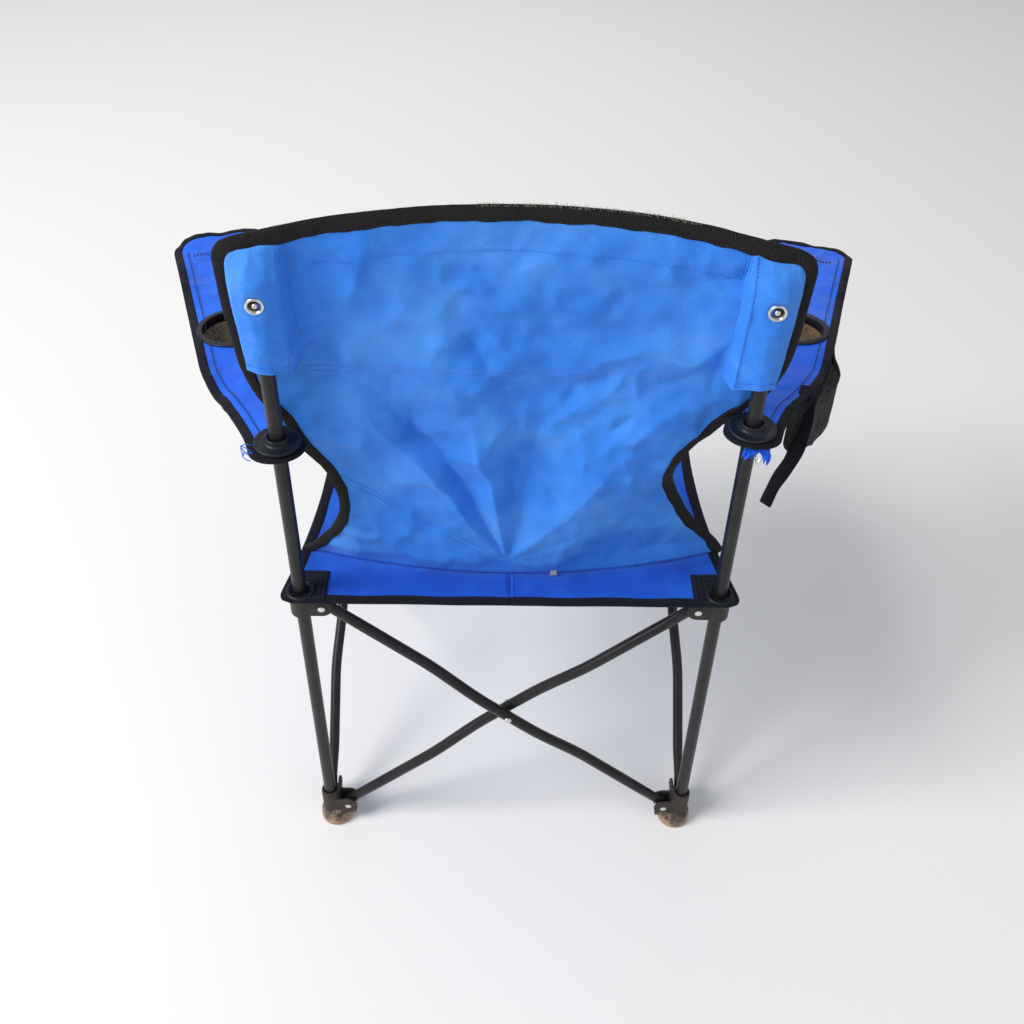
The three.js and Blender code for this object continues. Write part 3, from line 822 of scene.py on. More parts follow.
def thicken(piece: Thing, thickness: float) -> Thing:
    """Gives a sheet its thickness, half to each side, with closed rims.

    Args:
        piece: the sheet.
        thickness: from one face to the other.

    Returns:
        The same piece.
    """
    solid = piece.modifiers.new("thickness", "SOLIDIFY")
    solid.thickness = thickness
    solid.offset = 0
    apply_modifiers(piece)
    piece.data.shade_smooth()
    return piece


def join(name: str, parts: Sequence[Thing]) -> Thing:
    """Joins pieces of one finish into one object.

    Args:
        name: the joined piece's name.
        parts: the pieces, which all share one finish.

    Returns:
        The joined object.
    """
    with bpy.context.temp_override(active_object=parts[0], selected_editable_objects=list(parts)):
        bpy.ops.object.join()
    parts[0].name = name
    return parts[0]


def run_lengths(path: Array) -> Array:
    """The distance along a path at each of its points."""
    steps = np.linalg.norm(np.diff(path, axis=0), axis=1)
    return np.concatenate([[0], np.cumsum(steps)])


def resampled(path: Array, step: float, closed: bool = False) -> Array:
    """A path with even steps.

    Args:
        path: points x dimensions.
        step: the distance between the new points.
        closed: whether the path returns to its first point.

    Returns:
        The new points.
    """
    path = np.vstack([path, path[:1]]) if closed else path
    runs = run_lengths(path)
    count = max(4, int(round(runs[-1] / step)))
    at = np.linspace(0, runs[-1], count + 1)
    at = at[:-1] if closed else at
    return np.column_stack([np.interp(at, runs, path[:, k]) for k in range(path.shape[1])])


def smooth_curve(knots: Sequence, count: int = 12) -> Array:
    """A Catmull-Rom curve through its knots.

    Args:
        knots: the points that it passes.
        count: new points for each span.

    Returns:
        The curve's points.
    """
    p = np.array(knots, float)
    p = np.vstack([2 * p[0] - p[1], p, 2 * p[-1] - p[-2]])
    made = []
    for a, b, c, d in zip(p, p[1:], p[2:], p[3:]):
        for t in np.arange(count) / count:
            bend = (2 * a - 5 * b + 4 * c - d) * t**2 + (3 * b - a - 3 * c + d) * t**3
            made.append(0.5 * (2 * b + (c - a) * t + bend))
    made.append(p[-2])
    return np.array(made)


def directions(path: Array, closed: bool = False) -> Array:
    """The unit direction of a path at each point.

    Args:
        path: points x dimensions.
        closed: whether the path returns to its first point.

    Returns:
        A direction for each point.
    """
    if closed:
        ahead = np.roll(path, -1, axis=0) - np.roll(path, 1, axis=0)
    else:
        ahead = np.gradient(path, axis=0)
    return ahead / np.maximum(np.linalg.norm(ahead, axis=1)[:, None], 1e-9)


def eased(share: object) -> object:
    """A share from 0 to 1 that starts and ends softly."""
    return share * share * (3 - 2 * share)


def swept(
    name: str, path: Array, section: Callable[[float], Array], finish: Finish, side: Sequence[float]
) -> Thing:
    """A closed body swept along a path.

    Args:
        name: the piece's name.
        path: the centre line.
        section: gives the section's points, sideways and upwards, at a distance along the path.
        finish: what it is dressed in.
        side: the direction that the section's first axis keeps to.

    Returns:
        The new object.
    """
    ahead = directions(path)
    across = np.array(side, float) - (ahead @ np.array(side, float))[:, None] * ahead
    across /= np.linalg.norm(across, axis=1)[:, None]
    up = np.cross(ahead, across)
    runs = run_lengths(path)
    rings = [section(run) for run in runs]
    points = np.array([p + s[:, :1] * a + s[:, 1:] * u for p, s, a, u in zip(path, rings, across, up)])
    around = run_lengths(np.vstack([rings[0], rings[0][:1]]))
    uv = np.stack(np.meshgrid(around, runs), axis=-1)
    return grid_piece(name, points, finish, uv, wrap=True, ends=True)


def folded_tape(
    name: str,
    rim: Array,
    runs: Array,
    steps: Sequence,
    width: float | Array,
    tape: float,
    lay: Callable[[Array, float, float], Array],
    finish: Finish,
    closed: bool = False,
) -> Thing:
    """A binding tape folded over the edge of a cloth.

    Args:
        name: the piece's name.
        rim: the edge's line in the cloth's own two directions.
        runs: the distance along the tape at each point, and back at the start when closed.
        steps: share of the width and lift above the cloth, from the tape's hem to its fold.
        width: how far the tape reaches over the cloth, at each point or at all.
        tape: the reach that its yarn is laid out by.
        lay: gives points on the cloth from places in the rim's directions, a share and a lift.
        finish: what it is dressed in.
        closed: whether the rim is a loop.

    Returns:
        The new object.
    """
    ahead = directions(rim, closed)
    inwards = np.column_stack([-ahead[:, 1], ahead[:, 0]])
    loop = steps + [(share, -lift) for share, lift in reversed(steps[:-1])]
    reach = np.broadcast_to(width, len(rim))
    rings = [lay(rim + inwards * (share * reach)[:, None], share, lift) for share, lift in loop]
    grid = np.stack(rings, axis=1)
    if closed:
        grid = np.concatenate([grid, grid[:1]])
    around = run_lengths(np.array(loop + loop[:1]) * [tape, 1])
    uv = np.stack(np.meshgrid(around, runs), axis=-1)[..., ::-1]
    piece = grid_piece(name, grid, finish, uv, wrap=True, ends=not closed)
    return welded(piece) if closed else piece


def round_section(radius: float, sides: int = 8) -> Array:
    """The points of a round section."""
    turn = np.arange(sides) * 2 * math.pi / sides
    return radius * np.column_stack([np.cos(turn), np.sin(turn)])


def flat_section(width: float, thickness: float) -> Array:
    """The points of a flat tape's section, with rounded edges.

    Args:
        width: from edge to edge.
        thickness: from face to face.

    Returns:
        The section's points.
    """
    half, thin = width / 2, thickness / 2
    side = [(-half, 0), (-half + thin, -thin), (0, -thin), (half - thin, -thin)]
    return np.array(side + [(-x, -y) for x, y in side])


def turned(name: str, profile: Sequence, finish: Finish, place: Matrix, sides: int = 40) -> Thing:
    """A body turned about its own Z axis.

    Args:
        name: the piece's name.
        profile: radius and height points; a profile off the axis returns to its start.
        finish: what it is dressed in.
        place: where the body goes.
        sides: how many sides it has.

    Returns:
        The new object.
    """
    profile = np.array(profile, float)
    turn = np.arange(sides) * 2 * math.pi / sides
    rounds = np.stack([np.cos(turn), np.sin(turn)], axis=-1)
    rows = np.array([np.column_stack([r * rounds, np.full(sides, h)]) for r, h in profile])
    runs = run_lengths(profile)
    widest = max(profile[:, 0].max(), 1e-4)
    uv = np.stack(np.meshgrid(np.linspace(0, 2 * math.pi * widest, sides + 1), runs), axis=-1)
    piece = welded(grid_piece(name, rows, finish, uv, wrap=True))
    piece.data.transform(place)
    return piece


def moulded(name: str, parts: Sequence[Thing], cell: float, rounds: int = 5) -> Thing:
    """Melts overlapping closed parts into one moulding with soft edges.

    Args:
        name: the moulding's name.
        parts: the overlapping closed parts.
        cell: the size of the new faces.
        rounds: how many times the surface is relaxed.

    Returns:
        The moulding.
    """
    piece = join(name, parts)
    remesh = piece.modifiers.new("melt", "REMESH")
    remesh.mode = "VOXEL"
    remesh.voxel_size = cell
    relax = piece.modifiers.new("relax", "SMOOTH")
    relax.factor = 0.5
    relax.iterations = rounds
    apply_modifiers(piece)
    piece.data.shade_smooth()
    return piece


def plate(name: str, outline: Sequence, low: float, high: float, place: Matrix, finish: Finish) -> Thing:
    """A flat plate from an outline.

    Args:
        name: the plate's name.
        outline: its corners, in the plate's own X and Z.
        low: where its thickness starts, along its own Y.
        high: where its thickness ends.
        place: where the plate goes.
        finish: what it is dressed in.

    Returns:
        The plate.
    """
    count = len(outline)
    points = [Vector((x, y, z)) for y in (low, high) for x, z in outline]
    faces = [tuple(range(count)), tuple(range(2 * count - 1, count - 1, -1))]
    faces += [(k, (k + 1) % count, (k + 1) % count + count, k + count) for k in range(count)]
    piece = new_piece(name, [place @ p for p in points], faces, finish)
    tidy_normals(piece)
    return piece


def arc(cx: float, cz: float, radius: float, start: float, end: float, count: int = 12) -> list:
    """Points on an arc, with its angles in degrees."""
    turns = np.radians(np.linspace(start, end, count))
    return [(cx + radius * math.cos(t), cz + radius * math.sin(t)) for t in turns]


def fractal(places: Sequence, scale: float, octaves: int, seed: float) -> Array:
    """Fractal noise from about -1 to 1 over a grid.

    Args:
        places: the grid's X, Y and Z, in metres, as arrays or numbers.
        scale: bumps per metre.
        octaves: how many finer layers it has.
        seed: an offset that makes one field unlike another.

    Returns:
        A value for each point of the grid.
    """
    shift = Vector((seed, 2.3 * seed, -1.7 * seed))
    grid = np.stack(np.broadcast_arrays(*places), axis=-1)
    values = [noise.fractal(Vector(p) * scale + shift, 0.9, 2.1, octaves) for p in grid.reshape(-1, 3)]
    return np.reshape(values, grid.shape[:-1])


def stitches(
    name: str, path: Array, normal: Array, finish: Finish, pitch: float = 0.0042, thick: float = 0.0005
) -> Thing:
    """A row of stitches that lie on a surface.

    Args:
        name: the row's name.
        path: the seam's line on the surface.
        normal: the surface's direction at each point of the path, or one for all.
        finish: the thread's finish.
        pitch: from one stitch to the next.
        thick: half the thread's thickness.

    Returns:
        All the row's stitches as one piece.
    """
    normal = np.broadcast_to(np.array(normal, float), path.shape)
    runs = run_lengths(path)
    sides = 6
    ring = round_section(thick, sides)
    vertices, faces, places = [], [], []
    for start in np.arange(pitch / 2, runs[-1] - pitch, pitch):
        at = start + pitch * np.array([0, 0.12, 0.36, 0.6, 0.72])
        lift = np.array([-0.5, 0.55, 0.8, 0.55, -0.5]) * thick
        centre = np.column_stack([np.interp(at, runs, path[:, k]) for k in range(3)])
        out = np.column_stack([np.interp(at, runs, normal[:, k]) for k in range(3)])
        centre = centre + out * lift[:, None]
        across = np.cross(directions(centre), out)
        across /= np.maximum(np.linalg.norm(across, axis=1)[:, None], 1e-9)
        base = len(vertices)
        for c, o, a in zip(centre, out, across):
            vertices += [c + a * x * 1.2 + o * y for x, y in ring]
        for r in range(len(centre) - 1):
            low, high = base + r * sides, base + (r + 1) * sides
            for c in range(sides):
                d = (c + 1) % sides
                faces.append([low + c, low + d, high + d, high + c])
                corners = ((c, r), (d, r), (d, r + 1), (c, r + 1))
                places += [(column * thick, at[row]) for column, row in corners]
        for row, order in ((0, -1), (len(centre) - 1, 1)):
            faces.append([base + row * sides + c for c in range(sides)][::order])
            places += [(0, at[row])] * sides
    piece = new_piece(name, vertices, faces, finish)
    lay_flat(piece, places)
    tidy_normals(piece)
    return piece


def sewn(
    name: str, rows: Sequence[Array], normal: Sequence, finish: Finish, pitch: float, thick: float
) -> Thing:
    """Several rows of stitches, joined into one piece called name."""
    parts = [stitches(f"{name}_{k}", row, normal, finish, pitch, thick) for k, row in enumerate(rows)]
    return join(name, parts)


# ---- The chair's own measures ----


def per_side(left: float, right: float) -> dict[Side, float]:
    """A dataclass field that holds one value for each side."""
    return field(default_factory=lambda: {Side.LEFT: left, Side.RIGHT: right})


@dataclass
class Measures:
    """Sizes read from the frame, and the few that the steelwork is drawn with."""

    inset: float = 0.024
    arm_reach: float = 0.246
    stub: float = 0.007
    tube_radius: float = 0.007
    post_radius: float = 0.008
    jog: float = 0.008
    arm_drop: float = 0.008
    arm_lift: float = 0.015
    half: float = field(init=False)
    foot_pivot: float = field(init=False)
    hub_pivot: float = field(init=False)
    hub_top: float = field(init=False)
    post_top: float = field(init=False)

    def __post_init__(self) -> None:
        """Reads the corner spacing and the heights from the frame."""
        low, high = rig.box("post_left")
        self.half = (low.x + high.x) / 2
        self.post_top = high.z
        places = {joint["name"]: joint["pos_m"] for joint in frame["joints"]}
        self.foot_pivot = places["fold"][2]
        self.hub_pivot = places["rear_right_hub_turn"][2]
        self.hub_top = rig.box("hub_rear_left")[1].z

    @property
    def span(self) -> float:
        """Level distance between a cross tube's pivots."""
        return 2 * (self.half - self.inset)

    @property
    def rise(self) -> float:
        """Height between a cross tube's pivots."""
        return self.hub_pivot - self.foot_pivot

    @property
    def tube_length(self) -> float:
        """A cross tube's length from pivot to pivot."""
        return math.hypot(self.span, self.rise)

    @property
    def slope(self) -> float:
        """A cross tube's angle above level, in radians."""
        return math.atan2(self.rise, self.span)

    def collar(self, side: Side) -> float:
        """The height of the underside of an arm collar."""
        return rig.box(f"arm_collar_{side.word}")[0].z

    def arm_tip(self, side: Side) -> Array:
        """The end of the front tube that carries an armrest."""
        out, up = self.arm_reach * math.cos(self.slope), self.arm_reach * math.sin(self.slope)
        return np.array([side.value * (self.half - self.inset + out), -self.half, self.hub_pivot + up])


# ---- Steelwork and mouldings ----


@dataclass(frozen=True)
class CrossTube:
    """One tube of a crossed pair: its lower corner, its upper corner and its bend."""

    name: str
    low: tuple[int, int]
    high: tuple[int, int]
    bend: int
    arm: bool = False


CROSS_TUBES = (
    CrossTube("rear_tube_1", (1, 1), (-1, 1), -1),
    CrossTube("rear_tube_2", (-1, 1), (1, 1), 1),
    CrossTube("front_tube_1", (1, -1), (-1, -1), -1, True),
    CrossTube("front_tube_2", (-1, -1), (1, -1), 1, True),
    CrossTube("left_tube_1", (1, 1), (1, -1), -1),
    CrossTube("left_tube_2", (1, -1), (1, 1), 1),
    CrossTube("right_tube_1", (-1, 1), (-1, -1), 1),
    CrossTube("right_tube_2", (-1, -1), (-1, 1), -1),
)


@dataclass
class Steelwork:
    """Posts, cross tubes, rivets, feet, hubs and collars."""

    sizes: Measures
    crimp_run: float = 0.05
    crimp: float = 0.0019
    bend_flat: float = 0.035
    bend_run: float = 0.115
    sides: int = 28
    post_wall: float = 0.001
    post_burr: float = 0.0003
    collar_radius: float = 0.025
    cheek: float = 0.0035
    slot: float = 0.015
    lug: float = 0.013
    boss: float = 0.0078
    foot_radius: float = 0.0265
    foot_height: float = 0.022
    socket_top: float = 0.062
    hub_height: float = 0.028
    shank: float = 0.0024
    rivet_head: float = 0.0048
    crown: float = 0.0018
    tuck: float = 0.030
    base_shift: tuple[float, float] = (0.006, 0.003)
    base_share: tuple[float, float] = (0.84, 0.90)
    melt: float = 0.00095

    def build(self) -> None:
        """Makes every hard piece."""
        for tube in CROSS_TUBES:
            self.cross_tube(tube)
        for side in Side:
            self.post(side)
            self.collar(side)
            self.arm_cap(side)
            for end in End:
                self.foot(side, end)
                self.hub(side, end)
        self.rivets()

    def shown(self, piece: Thing, node: str) -> None:
        """Lets a piece stand for a CAD node and ride with its body.

        Args:
            piece: the piece.
            node: the node's name.
        """
        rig.ride(piece, frame["nodes"][node]["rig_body"])
        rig.replaces(piece, node)
        log.info("%s stands for %s", piece.name, node)

    def cross_tube(self, tube: CrossTube) -> None:
        """Sweeps one cross tube, with its shallow bend and flattened ends.

        Args:
            tube: which tube.
        """
        s = self.sizes
        low = np.array([*tube.low, 0.0]) * s.half
        level = np.array([*tube.high, 0.0]) * s.half - low
        level /= np.linalg.norm(level)
        start = low + level * s.inset + [0, 0, s.foot_pivot]
        along = level * math.cos(s.slope) + np.array([0, 0, math.sin(s.slope)])
        sideways = np.abs(level[[1, 0, 2]])
        end = s.tube_length + (s.arm_reach if tube.arm else s.stub)
        runs = np.linspace(-s.stub, end, 110)
        from_middle = np.abs(runs - s.tube_length / 2)
        near = np.clip((from_middle - self.bend_flat) / self.bend_run, 0, 1)
        bend = tube.bend * s.jog * (1 - eased(near))
        path = start + runs[:, None] * along + bend[:, None] * sideways
        base = round_section(1.0, self.sides)

        def section(run: float) -> Array:
            """The tube's section, flatter where it is riveted and rounded at its ends.

            Args:
                run: the distance along the tube.

            Returns:
                The section's points.
            """
            here = run - s.stub
            away = min(abs(here), abs(here - s.tube_length) if not tube.arm else 1.0)
            flat = 1 - min(1.0, max(0.0, away - 0.012) / self.crimp_run)
            flat = self.crimp * eased(flat)
            round_end = min(1.0, (min(run, end + s.stub - run) + 0.0006) / 0.0018)
            radii = np.array([s.tube_radius - flat, s.tube_radius + 0.35 * flat])
            return base * radii * (0.75 + 0.25 * round_end)

        piece = swept(f"{tube.name}_steel", path, section, BLACK_STEEL, sideways)
        self.shown(piece, tube.name)

    def post(self, side: Side) -> None:
        """Makes a rear post as an open tube, and its cap.

        Args:
            side: which post.
        """
        s = self.sizes
        low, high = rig.box(f"post_{side.word}")
        top, radius, burr = high.z - self.tuck, s.post_radius, self.post_burr
        inside = radius - self.post_wall
        profile = [
            (inside, low.z), (radius - burr, low.z), (radius, low.z + 2 * burr),
            *[(radius, z) for z in np.linspace(low.z + 0.02, top - 0.02, 40)],
            (radius, top - 2 * burr), (radius - burr, top), (inside, top), (inside, low.z),
        ]
        place = Matrix.Translation((side.value * s.half, s.half, 0))
        self.shown(turned(f"post_{side.word}_steel", profile, BLACK_STEEL, place), f"post_{side.word}")
        plug, flange = 0.0066, 0.0078
        cap = [(0, top - 0.014), (plug, top - 0.014), (plug, top + 0.0003), (flange, top + 0.0003)]
        cap += arc(0.0048, top + 0.0006, 0.0032, 0, 90, 6) + [(0, top + 0.0040)]
        self.shown(turned(f"post_{side.word}_plug", cap, HUB_PLASTIC, place), f"post_cap_{side.word}")

    def collar(self, side: Side) -> None:
        """Makes an arm collar: a dished disc with a raised lip round the post.

        Args:
            side: which post.
        """
        s = self.sizes
        z = s.collar(side)
        bore, rim = s.post_radius + 0.0003, self.collar_radius
        profile = [(bore, z), (rim - 0.0075, z), (rim - 0.0065, z), (rim - 0.0016, z + 0.0001)]
        profile += arc(rim - 0.0017, z + 0.0018, 0.0017, -80, 80, 8)
        dish = ((0.003, 0.0034), (0.0045, 0.0028), (0.0075, 0.0026), (0.0105, 0.0031), (0.0122, 0.0048))
        profile += [(rim - inwards, z + up) for inwards, up in dish]
        profile += arc(rim - 0.0138, z + 0.0078, 0.0013, 0, 160, 6) + [(bore, z + 0.0082), (bore, z)]
        place = Matrix.Translation((side.value * s.half, s.half, 0))
        piece = turned(f"arm_collar_{side.word}_moulding", profile, COLLAR_PLASTIC, place, 56)
        self.shown(piece, f"arm_collar_{side.word}")

    def arm_cap(self, side: Side) -> None:
        """Makes the mushroom cap on the end of a front tube.

        Args:
            side: the side that the arm is on.
        """
        s = self.sizes
        profile = [(0, -0.016), (0.0054, -0.016), (0.0054, 0.0003), (0.0098, 0.0003), (0.0116, 0.0014)]
        profile += [(0.012, 0.0032)] + arc(0.004, 0.0012, 0.0082, 20, 88, 8) + [(0, 0.0094)]
        tilt = Matrix.Rotation(side.value * (math.pi / 2 - s.slope), 4, "Y")
        place = Matrix.Translation(s.arm_tip(side)) @ tilt
        node = f"arm_cap_{side.word}"
        self.shown(turned(f"{node}_moulding", profile, HUB_PLASTIC, place), node)

    def fork(self, name: str, pivot: float, foot: bool, turn: float, finish: Finish) -> list[Thing]:
        """The two cheeks of a fork, their bosses and the web behind them.

        Args:
            name: a name to build under.
            pivot: the height of its pivot.
            foot: whether it stands on a foot's base.
            turn: the direction that it points in, in degrees.
            finish: what it is dressed in.

        Returns:
            The fork's parts.
        """
        inset, lug = self.sizes.inset, self.lug
        place = Matrix.Rotation(math.radians(turn), 4, "Z")
        if foot:
            base = self.foot_height - 0.004
            outline = [(0.004, base), (inset + lug * 0.8, base)] + arc(inset, pivot, lug, -15, 90)
            outline += [(0.004, pivot + lug)]
        else:
            outline = [(0.004, pivot - lug)] + arc(inset, pivot, lug, -90, 90) + [(0.004, pivot + lug)]
        inside, outside = self.slot / 2, self.slot / 2 + self.cheek
        layers = ((inside, outside), (-outside, -inside))
        parts = [plate(f"{name}_cheek", outline, a, b, place, finish) for a, b in layers]
        profile = [
            (0, inside), (self.boss, inside), (self.boss, outside + 0.0006),
            (self.boss - 0.0014, outside + 0.0012), (0, outside + 0.0012),
        ]
        for way in (1, -1):
            aim = Matrix.Translation((inset, 0, pivot)) @ Matrix.Rotation(math.radians(90 * way), 4, "X")
            parts.append(turned(f"{name}_boss", profile, finish, place @ aim, 24))
        low, high = outline[0][1], pivot + lug
        web = [(0.006, low), (0.0125, low), (0.0125, high), (0.006, high)]
        return parts + [plate(f"{name}_web", web, -outside, outside, place, finish)]

    def corner(
        self, node: str, corner: tuple[Side, End], pivot: float, foot: bool, core: Sequence, finish: Finish
    ) -> None:
        """Moulds a corner piece with a fork along each axis.

        Args:
            node: the CAD node that it stands for.
            corner: left or right, and rear or front.
            pivot: the height of its pivots.
            foot: whether it is a foot.
            core: the turned profiles of its middle.
            finish: what it is dressed in.
        """
        side, end = (choice.value for choice in corner)
        name = f"{node}_moulding"
        parts = [turned(f"{name}_core", profile, finish, Matrix.Identity(4), 48) for profile in core]
        if foot:
            inwards = Matrix.Translation((-self.base_shift[0] * side, -self.base_shift[1] * end, 0))
            parts[0].data.transform(inwards @ Matrix.Diagonal((*self.base_share, 1, 1)))
        for turn in (180 if side > 0 else 0, -90 if end > 0 else 90):
            parts += self.fork(name, pivot, foot, turn, finish)
        piece = moulded(name, parts, self.melt)
        piece.data.transform(Matrix.Translation((side * self.sizes.half, end * self.sizes.half, 0)))
        self.shown(piece, node)

    def foot(self, side: Side, end: End) -> None:
        """Moulds a foot: a round base, a socket for the post and two forks.

        Args:
            side: left or right.
            end: rear or front.
        """
        rim, top = self.foot_radius, self.foot_height
        base = [(0, 0.0), (rim - 0.003, 0.0)] + arc(rim - 0.003, 0.003, 0.003, -80, 0, 5)
        base += [(rim, 0.0085), (rim - 0.0014, 0.0095), (rim - 0.0014, 0.0115), (rim - 0.0004, 0.0125)]
        base += [(rim - 0.003, 0.018), (rim - 0.009, top), (0, top)]
        outer, low = self.sizes.post_radius + 0.004, top - 0.008
        if end is End.REAR:
            inner, high = self.sizes.post_radius + 0.0006, self.socket_top
            socket = [(inner, low), (outer, low), (outer, high - 0.002), (outer - 0.001, high)]
            socket += [(inner, high), (inner, low)]
        else:
            high = self.sizes.foot_pivot + self.lug
            socket = [(0, low), (outer, low), (outer, high - 0.003), (outer - 0.003, high), (0, high)]
        node = f"foot_{end.word}_{side.word}"
        self.corner(node, (side, end), self.sizes.foot_pivot, True, [base, socket], FOOT_PLASTIC)

    def hub(self, side: Side, end: End) -> None:
        """Moulds a seat hub: a ring on the post and two forks.

        Args:
            side: left or right.
            end: rear or front.
        """
        s = self.sizes
        low, top, outer = s.hub_top - self.hub_height, s.hub_top, s.post_radius + 0.006
        if end is End.REAR:
            inner = s.post_radius + 0.0008
            ring = [(inner, low), (outer, low), (outer, top - 0.003), (outer + 0.0012, top - 0.002)]
            ring += [(outer + 0.0012, top), (inner, top), (inner, low)]
        else:
            ring = [(0, low), (outer, low), (outer, top), (0, top)]
        node = f"hub_{end.word}_{side.word}"
        self.corner(node, (side, end), s.hub_pivot, False, [ring], HUB_PLASTIC)

    def rivets(self) -> None:
        """Makes the end rivets and the crossing rivets, each along its own pivot axis."""
        for node in sorted(frame["nodes"]):
            if not node.startswith(("rivet_", "cross_rivet_")):
                continue
            low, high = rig.box(node)
            size, middle = high - low, (low + high) / 2
            along_y = size.y > size.x
            long = (size.y if along_y else size.x) / 2
            face = long - 0.0016
            dome = [(r * self.rivet_head, face + h * self.crown) for r, h in arc(0, 0, 1, 8, 88, 7)]
            dome = [(self.rivet_head, face)] + dome
            profile = [(0, -long)] + [(r, -h) for r, h in reversed(dome)]
            profile += [(self.shank, -face), (self.shank, face)] + dome
            profile += [(0.0014, long + 0.0001), (0.0012, long - 0.0006), (0, long - 0.0006)]
            turn = Matrix.Rotation(math.pi / 2, 4, "X" if along_y else "Y")
            place = Matrix.Translation(middle) @ turn
            self.shown(turned(f"{node}_steel", profile, BRIGHT_STEEL, place, 24), node)


# ---- Back ----

# The corner spacing of the folded chair, as a share of the open one.
FOLDED_SHARE = 0.208


@dataclass(frozen=True)
class Crease:
    """A fold in the cloth: a line on the panel, its height to the rear and its width, in metres."""

    start: tuple[float, float]
    end: tuple[float, float]
    height: float
    width: float


@dataclass
class BackPanel:
    """The back: its cloth, binding, sleeves, screws, stitching and small damage."""

    sizes: Measures
    seam: float = 0.4655
    crown: float = 0.9515
    lean_top: float = 0.2355
    hollow: float = 0.020
    foot_line: float = 0.213
    foot_curve: float = 0.035
    left_edge: tuple = (
        (0.4655, 0.250), (0.482, 0.236), (0.511, 0.213), (0.540, 0.199), (0.570, 0.194), (0.600, 0.200),
        (0.624, 0.213), (0.653, 0.228), (0.688, 0.240), (0.725, 0.262), (0.764, 0.2735), (0.813, 0.278),
        (0.856, 0.281), (0.925, 0.282),
    )
    right_edge: tuple = (
        (0.4655, 0.258), (0.490, 0.243), (0.517, 0.222), (0.545, 0.202), (0.568, 0.191), (0.595, 0.180),
        (0.618, 0.177), (0.645, 0.186), (0.673, 0.208), (0.700, 0.230), (0.735, 0.258), (0.766, 0.269),
        (0.810, 0.276), (0.925, 0.280),
    )
    corner: dict = per_side(0.924, 0.917)
    corner_round: float = 0.019
    corner_pull: float = 0.012
    thickness: float = 0.0011
    flat: tuple = (0.565, 0.487)
    flat_area: float = 0.226
    sleeve_flat: tuple = (0.078, 0.144)
    sleeve_inner: dict = per_side(0.2165, 0.2145)
    sleeve_low: dict = per_side(0.786, 0.772)
    apex: tuple = (0.005, 0.492)
    fan: tuple = (
        (-88, 0.0), (-62, 0.1), (-41, 0.85), (-12, -1.0), (-4, -0.75), (9, 0.85), (26, -0.70), (35, 0.80),
        (57, -0.25), (88, 0.0),
    )
    creases: tuple = (
        Crease((0.116, 0.676), (0.100, 0.722), -0.0075, 0.012),
        Crease((0.128, 0.690), (0.122, 0.730), 0.0060, 0.014),
        Crease((0.048, 0.800), (0.012, 0.748), -0.0080, 0.013),
        Crease((0.012, 0.748), (-0.070, 0.800), -0.0070, 0.018),
        Crease((0.030, 0.815), (-0.015, 0.770), 0.0050, 0.014),
        Crease((-0.040, 0.690), (-0.085, 0.735), 0.0060, 0.014),
        Crease((-0.105, 0.690), (-0.135, 0.722), -0.0055, 0.013),
        Crease((-0.128, 0.680), (-0.160, 0.715), 0.0050, 0.013),
        Crease((0.205, 0.800), (0.120, 0.850), -0.0060, 0.018),
        Crease((0.212, 0.905), (0.110, 0.860), -0.0060, 0.020),
        Crease((0.160, 0.855), (0.135, 0.930), 0.0060, 0.014),
        Crease((-0.214, 0.890), (-0.080, 0.850), -0.0060, 0.020),
        Crease((-0.208, 0.800), (-0.196, 0.690), -0.0075, 0.018),
        Crease((-0.150, 0.880), (-0.120, 0.935), 0.0050, 0.014),
        Crease((-0.120, 0.790), (-0.060, 0.765), 0.0040, 0.012),
        Crease((-0.180, 0.760), (-0.120, 0.740), -0.0040, 0.012),
    )

    def width(self, side: Side, height: Array) -> Array:
        """How far the cloth reaches sideways at each edge height.

        Args:
            side: which side edge.
            height: heights along that edge.

        Returns:
            The distance from the middle, for each height.
        """
        edge = smooth_curve(self.left_edge if side is Side.LEFT else self.right_edge, 8)
        wide = np.interp(height, edge[:, 0], edge[:, 1])
        over = np.clip((height - (self.corner[side] - self.corner_round)) / self.corner_round, 0, 1)
        return wide - self.corner_round * (1 - np.sqrt(1 - over * over))

    def top_line(self, x: Array) -> Array:
        """The height of the top edge.

        Args:
            x: distances from the middle.

        Returns:
            The height at each of them.
        """
        share = np.clip(np.abs(x) / 0.275, 0, 1.2) ** 2.1
        drop = np.where(x > 0, self.crown - self.corner[Side.LEFT], self.crown - self.corner[Side.RIGHT])
        return self.crown - drop * share

    def depth(self, x: Array, z: Array) -> Array:
        """Where the cloth lies along Y, folds and crumples included.

        Args:
            x: sideways places.
            z: heights.

        Returns:
            Y for each point.
        """
        top = self.lean_top - self.hollow * (1 - np.minimum(1, (x / 0.262) ** 2))
        foot = self.foot_line - self.foot_curve * (x / 0.232) ** 2
        share = np.clip((z - self.seam) / (0.94 - self.seam), 0, 1)
        y = foot + (top - foot) * (1 - (1 - share) ** 1.8)
        calm = np.clip((z - self.seam) / 0.02, 0, 1) * np.clip((0.955 - z) / 0.05, 0.15, 1)
        calm = calm * np.clip((0.29 - np.abs(x)) / 0.07, 0.12, 1)
        return y + calm * self.folds(x, z)

